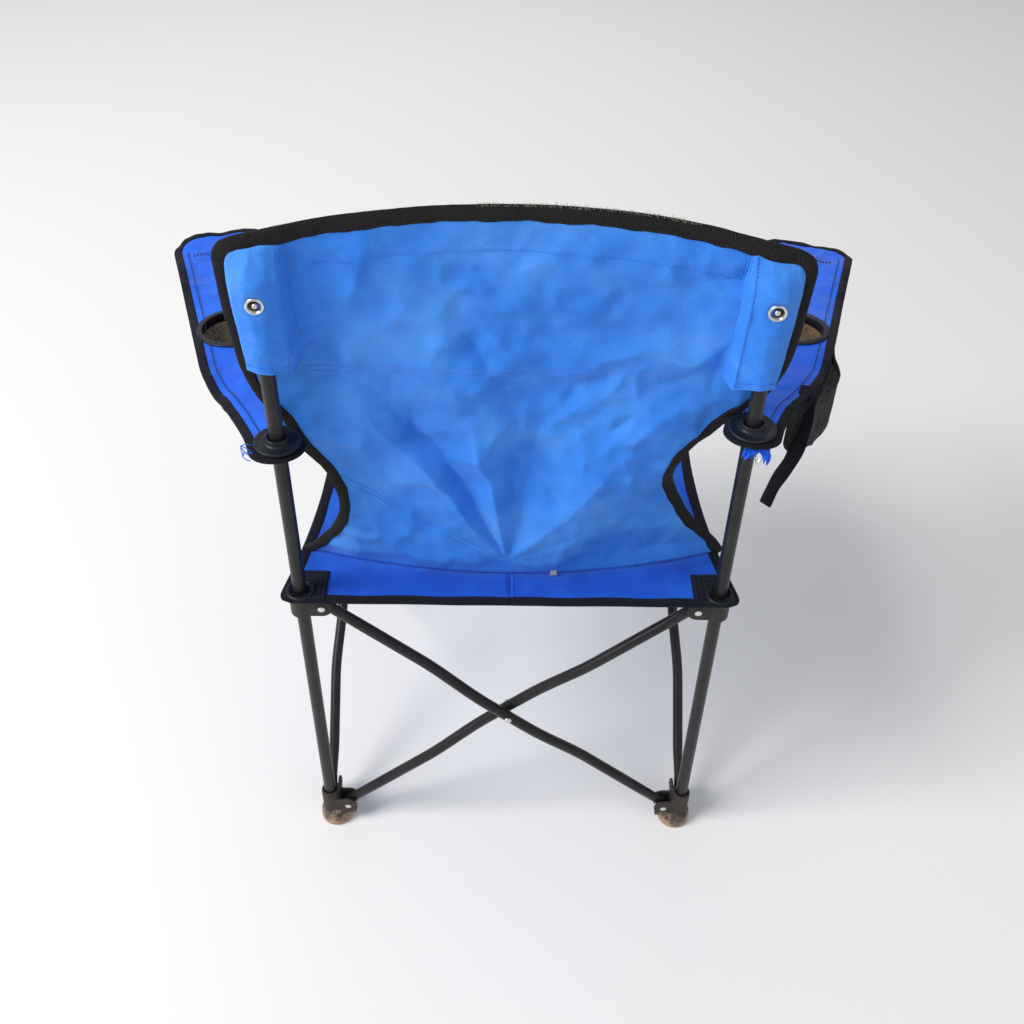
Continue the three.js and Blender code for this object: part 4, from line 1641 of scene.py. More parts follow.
    def folds(self, x: Array, z: Array) -> Array:
        """The height of the creases and crumples, to the rear.

        Args:
            x: sideways places.
            z: heights.

        Returns:
            The cloth's height at each point.
        """
        total = np.zeros_like(x)
        for crease in self.creases:
            a, b = np.array(crease.start), np.array(crease.end)
            run = b - a
            t = ((x - a[0]) * run[0] + (z - a[1]) * run[1]) / (run @ run)
            along = np.clip(t, 0, 1)
            away = np.hypot(x - a[0] - along * run[0], z - a[1] - along * run[1])
            wide = crease.width * (0.45 + 0.9 * along)
            taper = np.clip(1.25 - along, 0, 1)
            total += crease.height * taper * np.exp(-(np.sqrt(away**2 + 0.0000025)) / wide)
        total += self.gather_folds(x, z)
        # The lower right corner is pulled forward, below a line from the seam to the arm.
        line = (x + 0.066) * 0.195 + (z - 0.47) * 0.134
        total -= self.corner_pull / (1 + np.exp(np.clip(line / 0.0016, -40, 40)))
        return total + self.crumples(x, z)

    def crumples(self, x: Array, z: Array) -> Array:
        """The crumples that lie over the whole cloth, in three sizes.

        Args:
            x: sideways places.
            z: heights.

        Returns:
            Their height at each point.
        """
        places = (x, 0.0, z)
        sharp = 1 - 2.2 * np.abs(fractal(places, 11, 3, 4.1))
        broad = fractal(places, 5.5, 2, 9.7)
        patches = np.clip(0.6 + 1.6 * fractal(places, 6, 1, 2.6), 0, 1)
        small = (1 - 2.2 * np.abs(fractal(places, 23, 2, 1.3))) * patches
        middle = np.exp(-(((z - 0.70) / 0.17) ** 2))
        return 0.0052 * sharp * (0.45 + 0.55 * middle) + 0.0065 * broad + 0.0021 * small

    def gather_folds(self, x: Array, z: Array) -> Array:
        """The flat-sided folds that fan out from the middle of the bottom seam.

        Args:
            x: sideways places.
            z: heights.

        Returns:
            Their height to the rear.
        """
        dx, dz = x - self.apex[0], np.maximum(z - self.apex[1], 0.0001)
        reach = np.hypot(dx, dz)
        wander = fractal((x, 0.4, z), 9, 2, 5.5)
        angle = np.degrees(np.arctan2(dx, dz)) + 7 * wander * np.clip(reach / 0.1, 0, 1)
        knots = np.array(self.fan)
        shape = np.interp(angle, knots[:, 0], knots[:, 1])
        grow = np.interp(reach, [0, 0.02, 0.10, 0.17, 0.30, 0.36], [0, 0.0035, 0.0130, 0.0150, 0.0035, 0])
        return shape * grow

    def grid(self, columns: int = 190, rows: int = 150) -> tuple[Array, Array]:
        """The cloth's points and its own coordinates.

        Args:
            columns: points across.
            rows: points upwards.

        Returns:
            The points, and their coordinates in metres on the flat cloth.
        """
        u = np.linspace(-1, 1, columns)
        v = np.linspace(0, 1, rows)[:, None]
        right = self.width(Side.RIGHT, self.seam + v * (self.corner[Side.RIGHT] - self.seam))
        left = self.width(Side.LEFT, self.seam + v * (self.corner[Side.LEFT] - self.seam))
        x = np.where(u < 0, u * right, u * left)
        z = self.seam + v * (self.top_line(x) - self.seam)
        return np.stack([x, self.depth(x, z), z], axis=-1), np.stack([x, z], axis=-1)

    def on(self, x: Array, z: Array, lift: float | Array = 0.0) -> Array:
        """Points on the cloth, raised to the rear by lift."""
        x, z = np.asarray(x, float), np.asarray(z, float)
        return np.column_stack([x, self.depth(x, z) + lift, z])

    def gathers(self, piece: Thing) -> Thing:
        """Rides with the left post and gathers towards it as the chair folds."""
        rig.ride(piece, "rear_left_post")
        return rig.squash(piece, "fold", axis=(1, 0, 0), anchor=(self.sizes.half, 0, 0), keep=FOLDED_SHARE)

    def build(self) -> None:
        """Makes the back's pieces."""
        points, uv = self.grid()
        cloth = thicken(grid_piece("back_cloth", points, BLUE_BACK, uv), self.thickness)
        self.gathers(cloth)
        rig.replaces(cloth, "back_panel")
        rim = self.rim(points)
        trims = [self.binding(rim), self.seams(), self.fray(rim), self.tag()]
        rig.sheet(
            cloth, flat=self.flat, area=self.flat_area, held="hung", rests_on=["post_left", "post_right"],
            with_pieces=trims,
        )
        for side in Side:
            self.sleeve(side)
            self.screw(side)
        log.info("back done")

    def rim(self, points: Array) -> Array:
        """The bound edge in X and Z: up one side, across the top and down the other."""
        edge = np.vstack([points[:, -1], points[-1, -2:0:-1], points[::-1, 0]])[:, [0, 2]]
        return resampled(edge, 0.0035)

    def binding(self, rim: Array) -> Thing:
        """Folds a tape over the sides and the top of the cloth, and sews it on.

        Args:
            rim: the bound edge, in X and Z.

        Returns:
            The binding.
        """
        runs = run_lengths(rim)
        top = np.clip((rim[:, 1] - 0.885) / 0.03, 0, 1)
        width = 0.0118 + 0.0040 * top + 0.0006 * np.sin(runs * 95) + 0.0004 * np.sin(runs * 231)
        outside = np.clip((np.abs(rim[:, 0]) - 0.200) / 0.02, 0, 1)
        over = 0.0022 * outside * np.clip((rim[:, 1] - 0.765) / 0.01, 0, 1)

        def lay(at: Array, share: float, lift: float) -> Array:
            """Points on the back, a little fuzzy and raised where the binding passes a sleeve."""
            fuzz = 0.0002 * np.sin(runs * 1400 + share * 5)
            return self.on(at[:, 0], at[:, 1], lift + over * max(0.0, np.sign(lift)) + fuzz * np.sign(lift))

        steps = [(1.0, 0.0009), (0.93, 0.0017), (0.5, 0.0021), (0.08, 0.0019), (-0.06, 0.0009), (-0.09, 0.0)]
        piece = folded_tape("back_binding", rim, runs, steps, width, 0.015, lay, BROWN_TAPE)
        ahead = directions(rim)
        inner = rim + np.column_stack([-ahead[:, 1], ahead[:, 0]]) * (0.82 * width)[:, None]
        line = self.on(inner[:, 0], inner[:, 1], 0.0018)
        self.gathers(stitches("back_binding_stitching", line, (0, 1, 0), STITCH_BLACK, 0.005, 0.0004))
        return self.gathers(piece)

    def seams(self) -> Thing:
        """Stitches the panel's own seams: the bottom, the hidden stay, the top hem and the cross line.

        Returns:
            The seams that go with the sheet, all but the paler cross line.
        """
        x = np.linspace(-0.246, 0.238, 240)
        blue = [self.on(x, np.full_like(x, self.seam + 0.006), 0.0006)]
        x = np.linspace(0.030, 0.205, 100)
        blue += [self.on(x, 0.500 + (x - 0.030) * 0.66 + gap, 0.0006) for gap in (0.0, 0.007)]
        x = np.linspace(-0.230, 0.205, 200)
        blue.append(self.on(x, self.top_line(x) - 0.047, 0.0007))
        x = np.linspace(-0.182, 0.212, 200)
        cross = 0.766 - 0.010 * (0.212 - x) / 0.394 + 0.001 * np.sin(x * 40)
        pale = [self.on(x, cross + gap, 0.0007) for gap in (0.0, 0.006)]
        seams = self.gathers(sewn("back_seam_stitching", blue, (0, 1, 0), STITCH_BLUE, 0.0045, 0.00038))
        self.gathers(sewn("back_cross_stitching", pale, (0, 1, 0), STITCH_PALE, 0.0045, 0.00038))
        return seams

    def fray(self, rim: Array) -> Thing:
        """Loose fibres along the worn middle of the top binding.

        Args:
            rim: the bound edge, in X and Z.

        Returns:
            The fibres, as one piece.
        """
        rng = random.Random(11)
        worn = rim[(rim[:, 1] > 0.935) & (rim[:, 0] < 0.035) & (rim[:, 0] > -0.165)]
        vertices, faces, places = [], [], []
        fibres, spans, sides, tip = 620, 3, 3, 0.6
        for _ in range(fibres):
            x, z = worn[rng.randrange(len(worn))]
            x += rng.uniform(-0.002, 0.002)
            y = float(self.depth(np.array([x]), np.array([z]))[0]) + rng.uniform(-0.0016, 0.0018)
            lean = Vector((rng.uniform(-0.9, 0.9), rng.uniform(-0.5, 0.7), rng.uniform(0.5, 1.1)))
            lean.normalize()
            curl = Vector((rng.uniform(-1, 1), rng.uniform(-1, 1), rng.uniform(-0.4, 0.4))) * 0.0012
            long, thick = rng.uniform(0.0015, 0.0048), rng.uniform(0.00014, 0.00028)
            base = len(vertices)
            side = lean.cross(Vector((0.3, 1, 0.2))).normalized()
            other = lean.cross(side)
            for step in range(spans + 1):
                t = step / spans
                centre = Vector((x, y, z - 0.0006)) + lean * long * t + curl * t * t
                size = thick * (1 - tip * t)
                back = centre - side * size * 0.5
                vertices += [centre + side * size, back + other * size, back - other * size]
            for step in range(spans):
                low, high = base + sides * step, base + sides * (step + 1)
                for c in range(sides):
                    d = (c + 1) % sides
                    faces.append((low + c, low + d, high + d, high + c))
                    places += [(0, 0), (0.001, 0), (0.001, 0.001), (0, 0.001)]
            last = base + sides * spans
            faces += [(base + 2, base + 1, base), (last, last + 1, last + 2)]
            places += [(0, 0)] * 2 * sides
        piece = new_piece("back_frayed_yarn", vertices, faces, FRAY)
        lay_flat(piece, places)
        return self.gathers(piece)

    def tag(self) -> Thing:
        """A small blank tag sewn into the bottom seam.

        Returns:
            The tag.
        """
        above, below = self.seam + 0.004, self.seam - 0.001
        x = np.linspace(-0.047, -0.055, 8)
        z = np.linspace(above, below, 5)[:, None]
        x, z = x + 0 * z, z + 0 * x
        y = 0.2125 + 0.0035 * (above - z) / (above - below)
        piece = grid_piece("back_blank_tag", np.stack([x, y, z], axis=-1), TAG, np.stack([x, z], axis=-1))
        return self.gathers(thicken(piece, 0.0005))

    def sleeve(self, side: Side) -> None:
        """Makes the sleeve that holds a post top: cloth sewn to the panel round the post.

        Args:
            side: which post.
        """
        word = side.word
        grid, uv = self.sleeve_grid(side)
        cloth = thicken(grid_piece(f"post_sleeve_{word}_cloth", grid, BLUE_BACK, uv), 0.0010)
        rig.ride(cloth, f"rear_{word}_post")
        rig.replaces(cloth, f"post_sleeve_{word}")
        columns = [int(share * (grid.shape[1] - 1)) for share in (0.955, 0.86)]
        rows = [resampled(grid[:, column], 0.002) + [0, 0.0007, 0] for column in columns]
        rows.append(resampled(grid[3, 3:-3], 0.002) + [0, 0.0008, 0])
        sewing = sewn(f"post_sleeve_{word}_stitching", rows, (0, 1, 0), STITCH_BLUE, 0.0042, 0.00036)
        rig.ride(sewing, f"rear_{word}_post")
        trims = [sewing, self.hem_roll(side, grid)]
        wide, long = self.sleeve_flat
        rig.sheet(
            cloth, flat=(wide, long), area=wide * long, held="stretched", rests_on=[f"post_{word}"],
            with_pieces=trims,
        )

    def sleeve_grid(self, side: Side) -> tuple[Array, Array]:
        """The sleeve's points: flat at its seams, bulging over the post, dented round the screw.

        Args:
            side: which post.

        Returns:
            The points, and their coordinates in metres on the flat cloth.
        """
        s, sign = self.sizes, side.value
        inner, low = self.sleeve_inner[side], self.sleeve_low[side]
        a = np.linspace(0, 1, 64)
        b = np.linspace(0, 1, 60)[:, None]
        high = self.corner[side] - 0.004
        outer = self.width(side, low + (high - low) * b) - 0.0075
        x = outer + (inner - 0.004 * (1 - b) - outer) * a
        z = low + (self.top_line(sign * x) - 0.0125 - low) * b + 0.003 * np.sin(a * 5) * (1 - b)
        flat = self.depth(sign * x, z)
        radius = s.post_radius + 0.0024
        across = x - s.half
        cover = np.sqrt(np.maximum(radius**2 - across**2, 0))
        tent = radius * 1.02 - np.maximum(np.abs(across) - radius * 0.55, 0) * 0.62
        bulge = np.maximum(s.half + np.maximum(cover, tent) - flat, 0)
        for _ in range(14):
            bulge[:, 1:-1] = (bulge[:, :-2] + 2 * bulge[:, 1:-1] + bulge[:, 2:]) / 4
        edge = eased(np.clip(np.minimum(a, 1 - a) / 0.13, 0, 1))
        close = np.clip((1 - b) / 0.24, 0, 1) ** 0.8
        crumple = 1 - 2 * np.abs(fractal((sign * x, 0.0, z), 24, 3, 3.0 + sign))
        soft = fractal((sign * x, 0.0, z), 14, 2, 6.0 + sign)
        y = flat + 0.0016 + bulge * edge * close + edge * (0.0020 * crumple + 0.0026 * soft)
        hole = sum(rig.box(f"sleeve_screw_{side.word}"), Vector()) / 2
        near = np.exp(-((np.hypot(sign * x - hole.x, z - hole.z) / 0.0125) ** 4))
        y = y + (s.half + s.post_radius + 0.0016 - y) * near
        return np.stack([sign * x, y, z], axis=-1), np.stack([x + 0.7, z], axis=-1)

    def hem_roll(self, side: Side, grid: Array) -> Thing:
        """The rolled hem round the open bottom of a sleeve and along its inner edge.

        Args:
            side: which sleeve.
            grid: the sleeve's points.

        Returns:
            The hem.
        """
        inner = grid[::-1, -1]
        bottom = grid[0, ::-1]
        line = resampled(np.vstack([inner[:-1], bottom]), 0.002) + [0, 0.0002, 0]
        section = flat_section(0.0022, 0.0018)
        piece = swept(f"post_sleeve_{side.word}_hem", line, lambda run: section, BLUE_BACK, (0, 1, 0))
        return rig.ride(piece, f"rear_{side.word}_post")

    def screw(self, side: Side) -> None:
        """Makes the eyelet, its bowl and the screw that pin a sleeve to its post.

        Args:
            side: which sleeve.
        """
        node = f"sleeve_screw_{side.word}"
        low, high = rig.box(node)
        middle = (low + high) / 2
        face = self.sizes.half + self.sizes.post_radius + 0.0026
        turn = Matrix.Rotation(-math.pi / 2, 4, "X")
        tilt = Matrix.Rotation(math.radians(4 * side.value), 4, "Z")
        place = Matrix.Translation((middle.x, face, middle.z)) @ tilt @ turn
        ring = [(0.0050, -0.0022), (0.0084, -0.0006), (0.0093, 0.0002)]
        ring += arc(0.0078, 0.0005, 0.0015, 10, 170, 9)
        ring += [(0.0050, -0.0008), (0.0046, -0.0018), (0.0050, -0.0022)]
        bowl = [(0, -0.0040), (0.0052, -0.0040), (0.0052, -0.0002), (0.0046, 0.0001)]
        bowl += [(0.0034, -0.0004), (0, -0.0004)]
        head = [(0, -0.0026), (0.0028, -0.0026), (0.0031, 0.0002)] + arc(0, -0.0008, 0.0032, 30, 70, 6)
        head += [(0.0008, 0.0020), (0, 0.0016)]
        turned_pieces = (
            (f"sleeve_eyelet_{side.word}", ring, BRIGHT_STEEL, 48),
            (f"sleeve_bowl_{side.word}", bowl, HUB_PLASTIC, 32),
            (f"{node}_steel", head, BRIGHT_STEEL, 32),
        )
        for name, profile, finish, sides in turned_pieces:
            piece = turned(name, profile, finish, place, sides)
            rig.ride(piece, f"rear_{side.word}_post")
            if profile is head:
                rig.replaces(piece, node)


# ---- Seat ----


@dataclass
class Seat:
    """The seat: two sewn halves, their binding, corner patches and rings."""

    sizes: Measures
    level: float = 0.4626
    sag: float = 0.009
    overhang: float = 0.025
    waist: float = 0.034
    length: float = 0.523
    corner: float = 0.016
    tape: float = 0.0115
    patch: float = 0.050
    middle: float = -0.00005
    thickness: float = 0.0011

    def edge(self, y: Array) -> Array:
        """How far the side edge stands out.

        Args:
            y: places along the seat.

        Returns:
            The distance from the middle at each of them.
        """
        wide = self.sizes.half + self.overhang - self.waist * (1 - (2 * y / self.length) ** 2)
        over = np.clip((np.abs(y) - (self.length / 2 - self.corner)) / self.corner, 0, 1)
        return wide - self.corner * (1 - np.sqrt(1 - over * over))

    def top(self, x: Array, y: Array) -> Array:
        """The height of the cloth, with its sag and wrinkles.

        Args:
            x: sideways places.
            y: places along the seat.

        Returns:
            The height at each point.
        """
        u = np.clip(np.abs(x) / (self.sizes.half + self.overhang), 0, 1)
        v = np.clip(2 * np.abs(y) / self.length, 0, 1)
        slack = np.clip(1 - v * v, 0, 1) ** 1.4 * (1 - u**3)
        wrinkle = fractal((np.abs(x), y, 0.0), 9, 3, 2.2) * 0.0022
        ripple = 0.0012 * np.sin(np.abs(x) * 55 + 1.1) * np.clip(v * 2 - 1, 0, 1) * (1 - u)
        calm = np.clip(6 * (1 - v), 0.25, 1)
        return self.level - self.sag * slack + (wrinkle * np.clip(1 - u, 0, 1) ** 0.5 + ripple) * calm

    def drops(self, piece: Thing, side: Side) -> Thing:
        """Rides with its half of the seat and gathers to the rear as the chair folds."""
        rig.ride(piece, f"seat_{side.word}")
        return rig.squash(piece, "fold", axis=(0, 1, 0), anchor=(0, self.sizes.half, 0), keep=FOLDED_SHARE)

    def build(self) -> None:
        """Makes both halves."""
        for side in Side:
            self.half_seat(side)
        log.info("seat done")

    def half_seat(self, side: Side) -> None:
        """Makes one half of the seat.

        Args:
            side: which half.
        """
        sign, word = side.value, side.word
        u = np.linspace(0, 1, 66)
        y = np.linspace(-0.5, 0.5, 120)[:, None] * self.length
        x = sign * (self.middle + u * (self.edge(y) - self.middle))
        y = y + 0 * x
        grid = np.stack([x, y, self.top(x, y)], axis=-1)
        cloth = grid_piece(f"seat_cloth_{word}", grid, BLUE_SEAT, np.stack([x, y], axis=-1) + 1.0)
        self.drops(thicken(cloth, self.thickness), side)
        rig.replaces(cloth, f"seat_{word}")
        rim = resampled(np.vstack([grid[0, :-1], grid[:, -1], grid[-1, -2::-1]]), 0.004)
        trims = [self.binding(side, rim if sign > 0 else rim[::-1])]
        for end in End:
            trims += self.patches(side, end)
        seam = np.column_stack([np.full(120, sign * 0.0045), np.linspace(-0.25, 0.25, 120), np.zeros(120)])
        seam[:, 2] = self.top(seam[:, 0], seam[:, 1]) + 0.0006
        row = stitches(f"seat_seam_{word}", seam, (0, 0, 1), STITCH_DEEP, 0.0045, 0.00036)
        trims.append(self.drops(row, side))
        wide = self.sizes.half + self.overhang
        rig.sheet(
            cloth, flat=(wide, self.length), area=0.93 * wide * self.length, held="stretched",
            rests_on=[f"hub_rear_{word}", f"hub_front_{word}"], with_pieces=trims,
        )

    def binding(self, side: Side, rim: Array) -> Thing:
        """Folds a tape over the front, side and rear edges of a half.

        Args:
            side: which half.
            rim: the edge's line.

        Returns:
            The binding.
        """
        runs = run_lengths(rim)
        width = self.tape + 0.0006 * np.sin(runs * 70)
        steps = [(1.0, 0.0008), (0.92, 0.0015), (0.5, 0.0020), (0.1, 0.0019), (-0.08, 0.0012), (-0.13, 0.0)]

        def lay(at: Array, _share: float, lift: float) -> Array:
            """Points at a height above the seat."""
            return np.column_stack([at, self.top(at[:, 0], at[:, 1]) + lift])

        name = f"seat_binding_{side.word}"
        return self.drops(folded_tape(name, rim[:, :2], runs, steps, width, self.tape, lay, NAVY_TAPE), side)

    def patches(self, side: Side, end: End) -> list[Thing]:
        """Makes a corner patch and its stitching, and at a rear corner also the raised ring round its hole.

        Args:
            side: left or right.
            end: rear or front.

        Returns:
            The corner's pieces.
        """
        sign, way, half = side.value, end.value, self.sizes.half
        name, gap = f"{end.word}_{side.word}", 0.0015
        a = np.linspace(0, 1, 28)
        b = np.linspace(0, 1, 28)[:, None]
        inner = half - 0.62 * self.patch
        y = way * (self.length / 2 - gap - b * (self.patch - gap))
        x = sign * (inner + a * (self.edge(y) - gap - inner))
        y = y + 0 * x
        grid = np.stack([x, y, self.top(x, y) + 0.0016], axis=-1)
        flat = np.stack([x, y], axis=-1)
        made = [thicken(grid_piece(f"seat_patch_{name}", grid, NAVY_TAPE, flat), 0.0010)]
        if end is End.REAR:
            bore = 0.0100
            profile = [(bore, 0.0), (0.0165, 0.0)] + arc(0.0142, 0.0004, 0.0024, 0, 170, 8)
            profile += [(bore, 0.0012), (bore, 0.0)]
            height = float(self.top(np.array([sign * half]), np.array([way * half]))[0]) + 0.0019
            place = Matrix.Translation((sign * half, way * half, height))
            made.append(turned(f"seat_ring_{name}", profile, COLLAR_PLASTIC, place, 40))
        rows = []
        for step in (2, 5, 9):
            there, back = grid[step:-step, step], grid[-step:step:-1, -step - 1]
            line = np.vstack([there, grid[-step, step:-step], back, grid[step, -step - 1:step:-1]])
            rows.append(resampled(line, 0.002) + [0, 0, 0.0006])
        made.append(sewn(f"seat_patch_stitching_{name}", rows, (0, 0, 1), STITCH_NAVY, 0.0042, 0.00045))
        return [self.drops(piece, side) for piece in made]


# ---- Armrests ----


@dataclass
class Armrest:
    """One armrest: its cloth, binding, cup holder and what hangs from it."""

    sizes: Measures
    side: Side
    half_width: float = 0.053
    rear_half: float = 0.0225
    front: float = 0.0222
    rear: float = 0.0185
    corner: float = 0.032
    cup_at: float = 0.272
    cup_out: float = 0.009
    cup_radius: float = 0.042
    cup_depth: float = 0.106
    cup_taper: float = 0.0090
    thickness: float = 0.0018
    tape: float = 0.0095
    extra: dict = per_side(-0.001, 0.003)
    keep: dict = per_side(0.436, 0.389)
    origin: Array = field(init=False)
    along: Array = field(init=False)
    out: Array = field(init=False)
    up: Array = field(init=False)
    length: float = field(init=False)

    def __post_init__(self) -> None:
        """Lays the arm between its post and the end of its front tube."""
        s, sign = self.sizes, self.side.value
        self.origin = np.array([sign * s.half, s.half, s.collar(self.side) - s.arm_drop])
        reach = s.arm_tip(self.side) + [0, 0, s.arm_lift] - self.origin
        self.length = float(np.linalg.norm(reach))
        self.along = reach / self.length
        out = np.array([-self.along[1], self.along[0], 0]) * sign
        self.out = out / np.linalg.norm(out)
        self.up = np.cross(self.along, self.out) * sign

    def place(self, a: Array, c: Array, h: Array) -> Array:
        """Arm places (along, outwards, up) as points in the row frame."""
        a, c, h = (np.asarray(k, float)[..., None] for k in np.broadcast_arrays(a, c, h))
        return self.origin + a * self.along + c * self.out + h * self.up

    def follows(self, piece: Thing) -> Thing:
        """Rides with the arm and gathers towards the post as the chair folds."""
        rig.ride(piece, f"arm_{self.side.word}")
        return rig.squash(piece, "fold", axis=self.along, anchor=self.origin, keep=self.keep[self.side])

    def reach_out(self, a: Array, outward: bool) -> Array:
        """How far the cloth reaches sideways at each place along the arm.

        Args:
            a: places along the arm.
            outward: the outer edge, or the inner one.

        Returns:
            The distance from the arm's line.
        """
        t = np.clip((a - 0.01) / 0.19, 0, 1)
        narrow = self.rear_half if outward else self.rear_half - 0.003
        full = self.half_width + (self.extra[self.side] if outward else 0)
        wide = narrow + (full - narrow) * eased(t)
        end = self.length + self.front
        over = np.clip((a - (end - self.corner)) / self.corner, 0, 1)
        behind = np.clip(-a / self.rear, 0, 1)
        return (wide - self.corner * (1 - np.sqrt(1 - over * over))) * np.sqrt(1 - behind * behind * 0.985)

    def height(self, a: Array, c: Array) -> Array:
        """The cloth's height above the arm's own plane.

        Args:
            a: places along the arm.
            c: places outwards.

        Returns:
            The height at each point.
        """
        t = np.clip(a / self.length, 0, 1)
        sag = -0.007 * np.sin(math.pi * t) ** 2 * (1 - 0.4 * (c / self.half_width) ** 2)
        near_cup = np.clip((self.from_cup(a, c) - 0.045) / 0.05, 0, 1)
        seed = 5.0 + self.side.value
        crumple = 1 - 2 * np.abs(fractal((a, c, 0.0), 16, 3, seed))
        broad = fractal((a, c, 0.0), 8, 2, seed + 3)
        curl = 0.004 * np.sin(a * 31 + 0.8 * self.side.value) * (c / self.half_width) ** 3
        rear = np.clip(a / 0.06, 0, 1)
        return 0.001 + sag * near_cup + rear * near_cup * (0.0030 * crumple + 0.0048 * broad + curl)

    def from_cup(self, a: Array, c: Array) -> Array:
        """Each place's distance from the middle of the cup's hole."""
        return np.hypot(a - self.cup_at, c - self.cup_out)

    def on(self, a: Array, c: Array, lift: float) -> Array:
        """Points at a height above the cloth."""
        return self.place(a, c, self.height(a, c) + lift)

    def build(self) -> None:
        """Makes the arm's pieces."""
        word = self.side.word
        turn, end = np.linspace(0, math.pi / 2, 15), self.length + self.front - self.corner
        rear, front = -self.rear * np.cos(turn), end + self.corner * np.sin(turn[1:])
        a = np.concatenate([rear, np.linspace(0, end, 130)[1:], front])[:, None]
        u = np.linspace(-1, 1, 40)
        c = np.where(u < 0, u * self.reach_out(a, False), u * self.reach_out(a, True))
        a = a + 0 * c
        rim_a, rim_c = self.around_cup(a, c)
        flat = np.stack([rim_a, rim_c], axis=-1) + 1.0
        cloth = grid_piece(f"armrest_cloth_{word}", self.on(rim_a, rim_c, 0.0), BLUE_ARM, flat)
        self.open_hole(cloth, rim_a, rim_c)
        self.follows(thicken(cloth, self.thickness))
        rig.replaces(cloth, f"armrest_{word}")
        trims = [self.binding(a, c), self.cross_seam(), *self.cup()]
        if self.side is Side.RIGHT:
            trims += [self.scraps(), self.loose_bit()]
            self.pocket()
        else:
            trims.append(self.threads())
        wide, long = 2 * self.half_width, self.length + self.front + self.rear
        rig.sheet(
            cloth, flat=(wide, long), area=0.80 * wide * long, held="stretched",
            rests_on=[f"arm_collar_{word}", f"arm_cap_{word}"], with_pieces=trims,
        )
        log.info("armrest %s done", word)

    def around_cup(self, a: Array, c: Array) -> tuple[Array, Array]:
        """Moves the grid's points next to the cup's hole onto its edge.

        Args:
            a: the points' places along the arm.
            c: their places outwards.

        Returns:
            The new places.
        """
        away = self.from_cup(a, c)
        pull = (away < self.cup_radius + 0.0022) & (away > self.cup_radius - 0.0040)
        scale = np.where(pull, (self.cup_radius + 0.0012) / np.maximum(away, 1e-6), 1)
        return self.cup_at + (a - self.cup_at) * scale, self.cup_out + (c - self.cup_out) * scale

    def open_hole(self, cloth: Thing, a: Array, c: Array) -> None:
        """Takes away the cloth inside the cup's hole.

        Args:
            cloth: the armrest's sheet.
            a: its points' places along the arm.
            c: their places outwards.
        """
        inside = (self.from_cup(a, c) < self.cup_radius + 0.0016).ravel()
        work = bmesh.new()
        work.from_mesh(cloth.data)
        gone = [face for face in work.faces if all(inside[vertex.index] for vertex in face.verts)]
        bmesh.ops.delete(work, geom=gone, context="FACES")
        work.to_mesh(cloth.data)
        work.free()

    def binding(self, a: Array, c: Array) -> Thing:
        """Folds a tape round the whole edge.

        Args:
            a: the cloth's places along the arm.
            c: its places outwards.

        Returns:
            The binding.
        """
        flat = np.stack([a, c], axis=-1)
        edge = np.vstack([flat[:, -1], flat[-1, -2:0:-1], flat[::-1, 0], flat[0, 1:-1]])
        rim = resampled(edge, 0.0035, closed=True)
        runs = run_lengths(np.vstack([rim, rim[:1]]))
        steps = [(1.0, 0.0012), (0.9, 0.0020), (0.5, 0.0024), (0.1, 0.0023), (-0.08, 0.0015), (-0.13, 0.0)]

        def lay(at: Array, _share: float, lift: float) -> Array:
            """Points at a height above the armrest."""
            return self.on(at[:, 0], at[:, 1], lift)

        name = f"armrest_binding_{self.side.word}"
        return self.follows(folded_tape(name, rim, runs, steps, self.tape, self.tape, lay, NAVY_TAPE, True))

    def cross_seam(self) -> Thing:
        """The two seams across the arm near its front, and one inside each side's binding.

        Returns:
            The seams, as one piece.
        """
        c = np.linspace(-0.043, 0.043, 60)
        rows = [self.on(self.length - before + 0 * c, c, 0.0012) for before in (0.030, 0.024)]
        a = np.linspace(0.03, self.length - 0.01, 200)
        for outward, sign in ((True, 1), (False, -1)):
            rows.append(self.on(a, sign * (self.reach_out(a, outward) - 0.0085), 0.0024))
        name = f"armrest_stitching_{self.side.word}"
        return self.follows(sewn(name, rows, self.up, STITCH_BLACK, 0.0045, 0.0004))

    def cup(self) -> list[Thing]:
        """Makes the cup holder: a soft rim and a netting bag with a bound base.

        Returns:
            The rim, the bag and the base.
        """
        word, radius, low = self.side.word, self.cup_radius, -self.cup_depth
        turn = Matrix(np.column_stack([self.along, self.out * self.side.value, self.up]).tolist()).to_4x4()
        place = Matrix.Translation(self.place(self.cup_at, self.cup_out, 0.0)) @ turn
        rim = [(radius - 0.0018, -0.0065), (radius - 0.0004, -0.0065)]
        rim += [(radius - 0.0002, 0.0016), (radius + 0.0046, 0.0016)]
        rim += arc(radius + 0.0042, 0.0032, 0.0015, -60, 90, 6) + [(radius + 0.001, 0.0049)]
        rim += arc(radius - 0.0004, 0.0036, 0.0014, 90, 180, 5) + [(radius - 0.0018, -0.0065)]
        ring = turned(f"cup_rim_{word}", rim, COLLAR_PLASTIC, place, 96)
        heights = np.linspace(-0.004, low + 0.006, 36)
        t = (heights - heights[0]) / (heights[-1] - heights[0])
        outer = radius - 0.0004 - self.cup_taper * t + 0.0022 * np.sin(math.pi * t)
        bag = self.cup_bag(outer, heights)
        bag.data.transform(place)
        foot = outer[-1]
        hoop = [(foot - 0.0012, low + 0.002), (foot + 0.0013, low + 0.002), (foot + 0.0019, low + 0.008)]
        hoop += [(foot + 0.0015, low + 0.0135), (foot - 0.0004, low + 0.0135), (foot - 0.0012, low + 0.002)]
        base = turned(f"cup_base_tape_{word}", hoop, NAVY_TAPE, place, 72)
        for piece in (ring, bag, base):
            self.follows(piece)
        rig.replaces(bag, f"cup_holder_{word}")
        return [ring, bag, base]

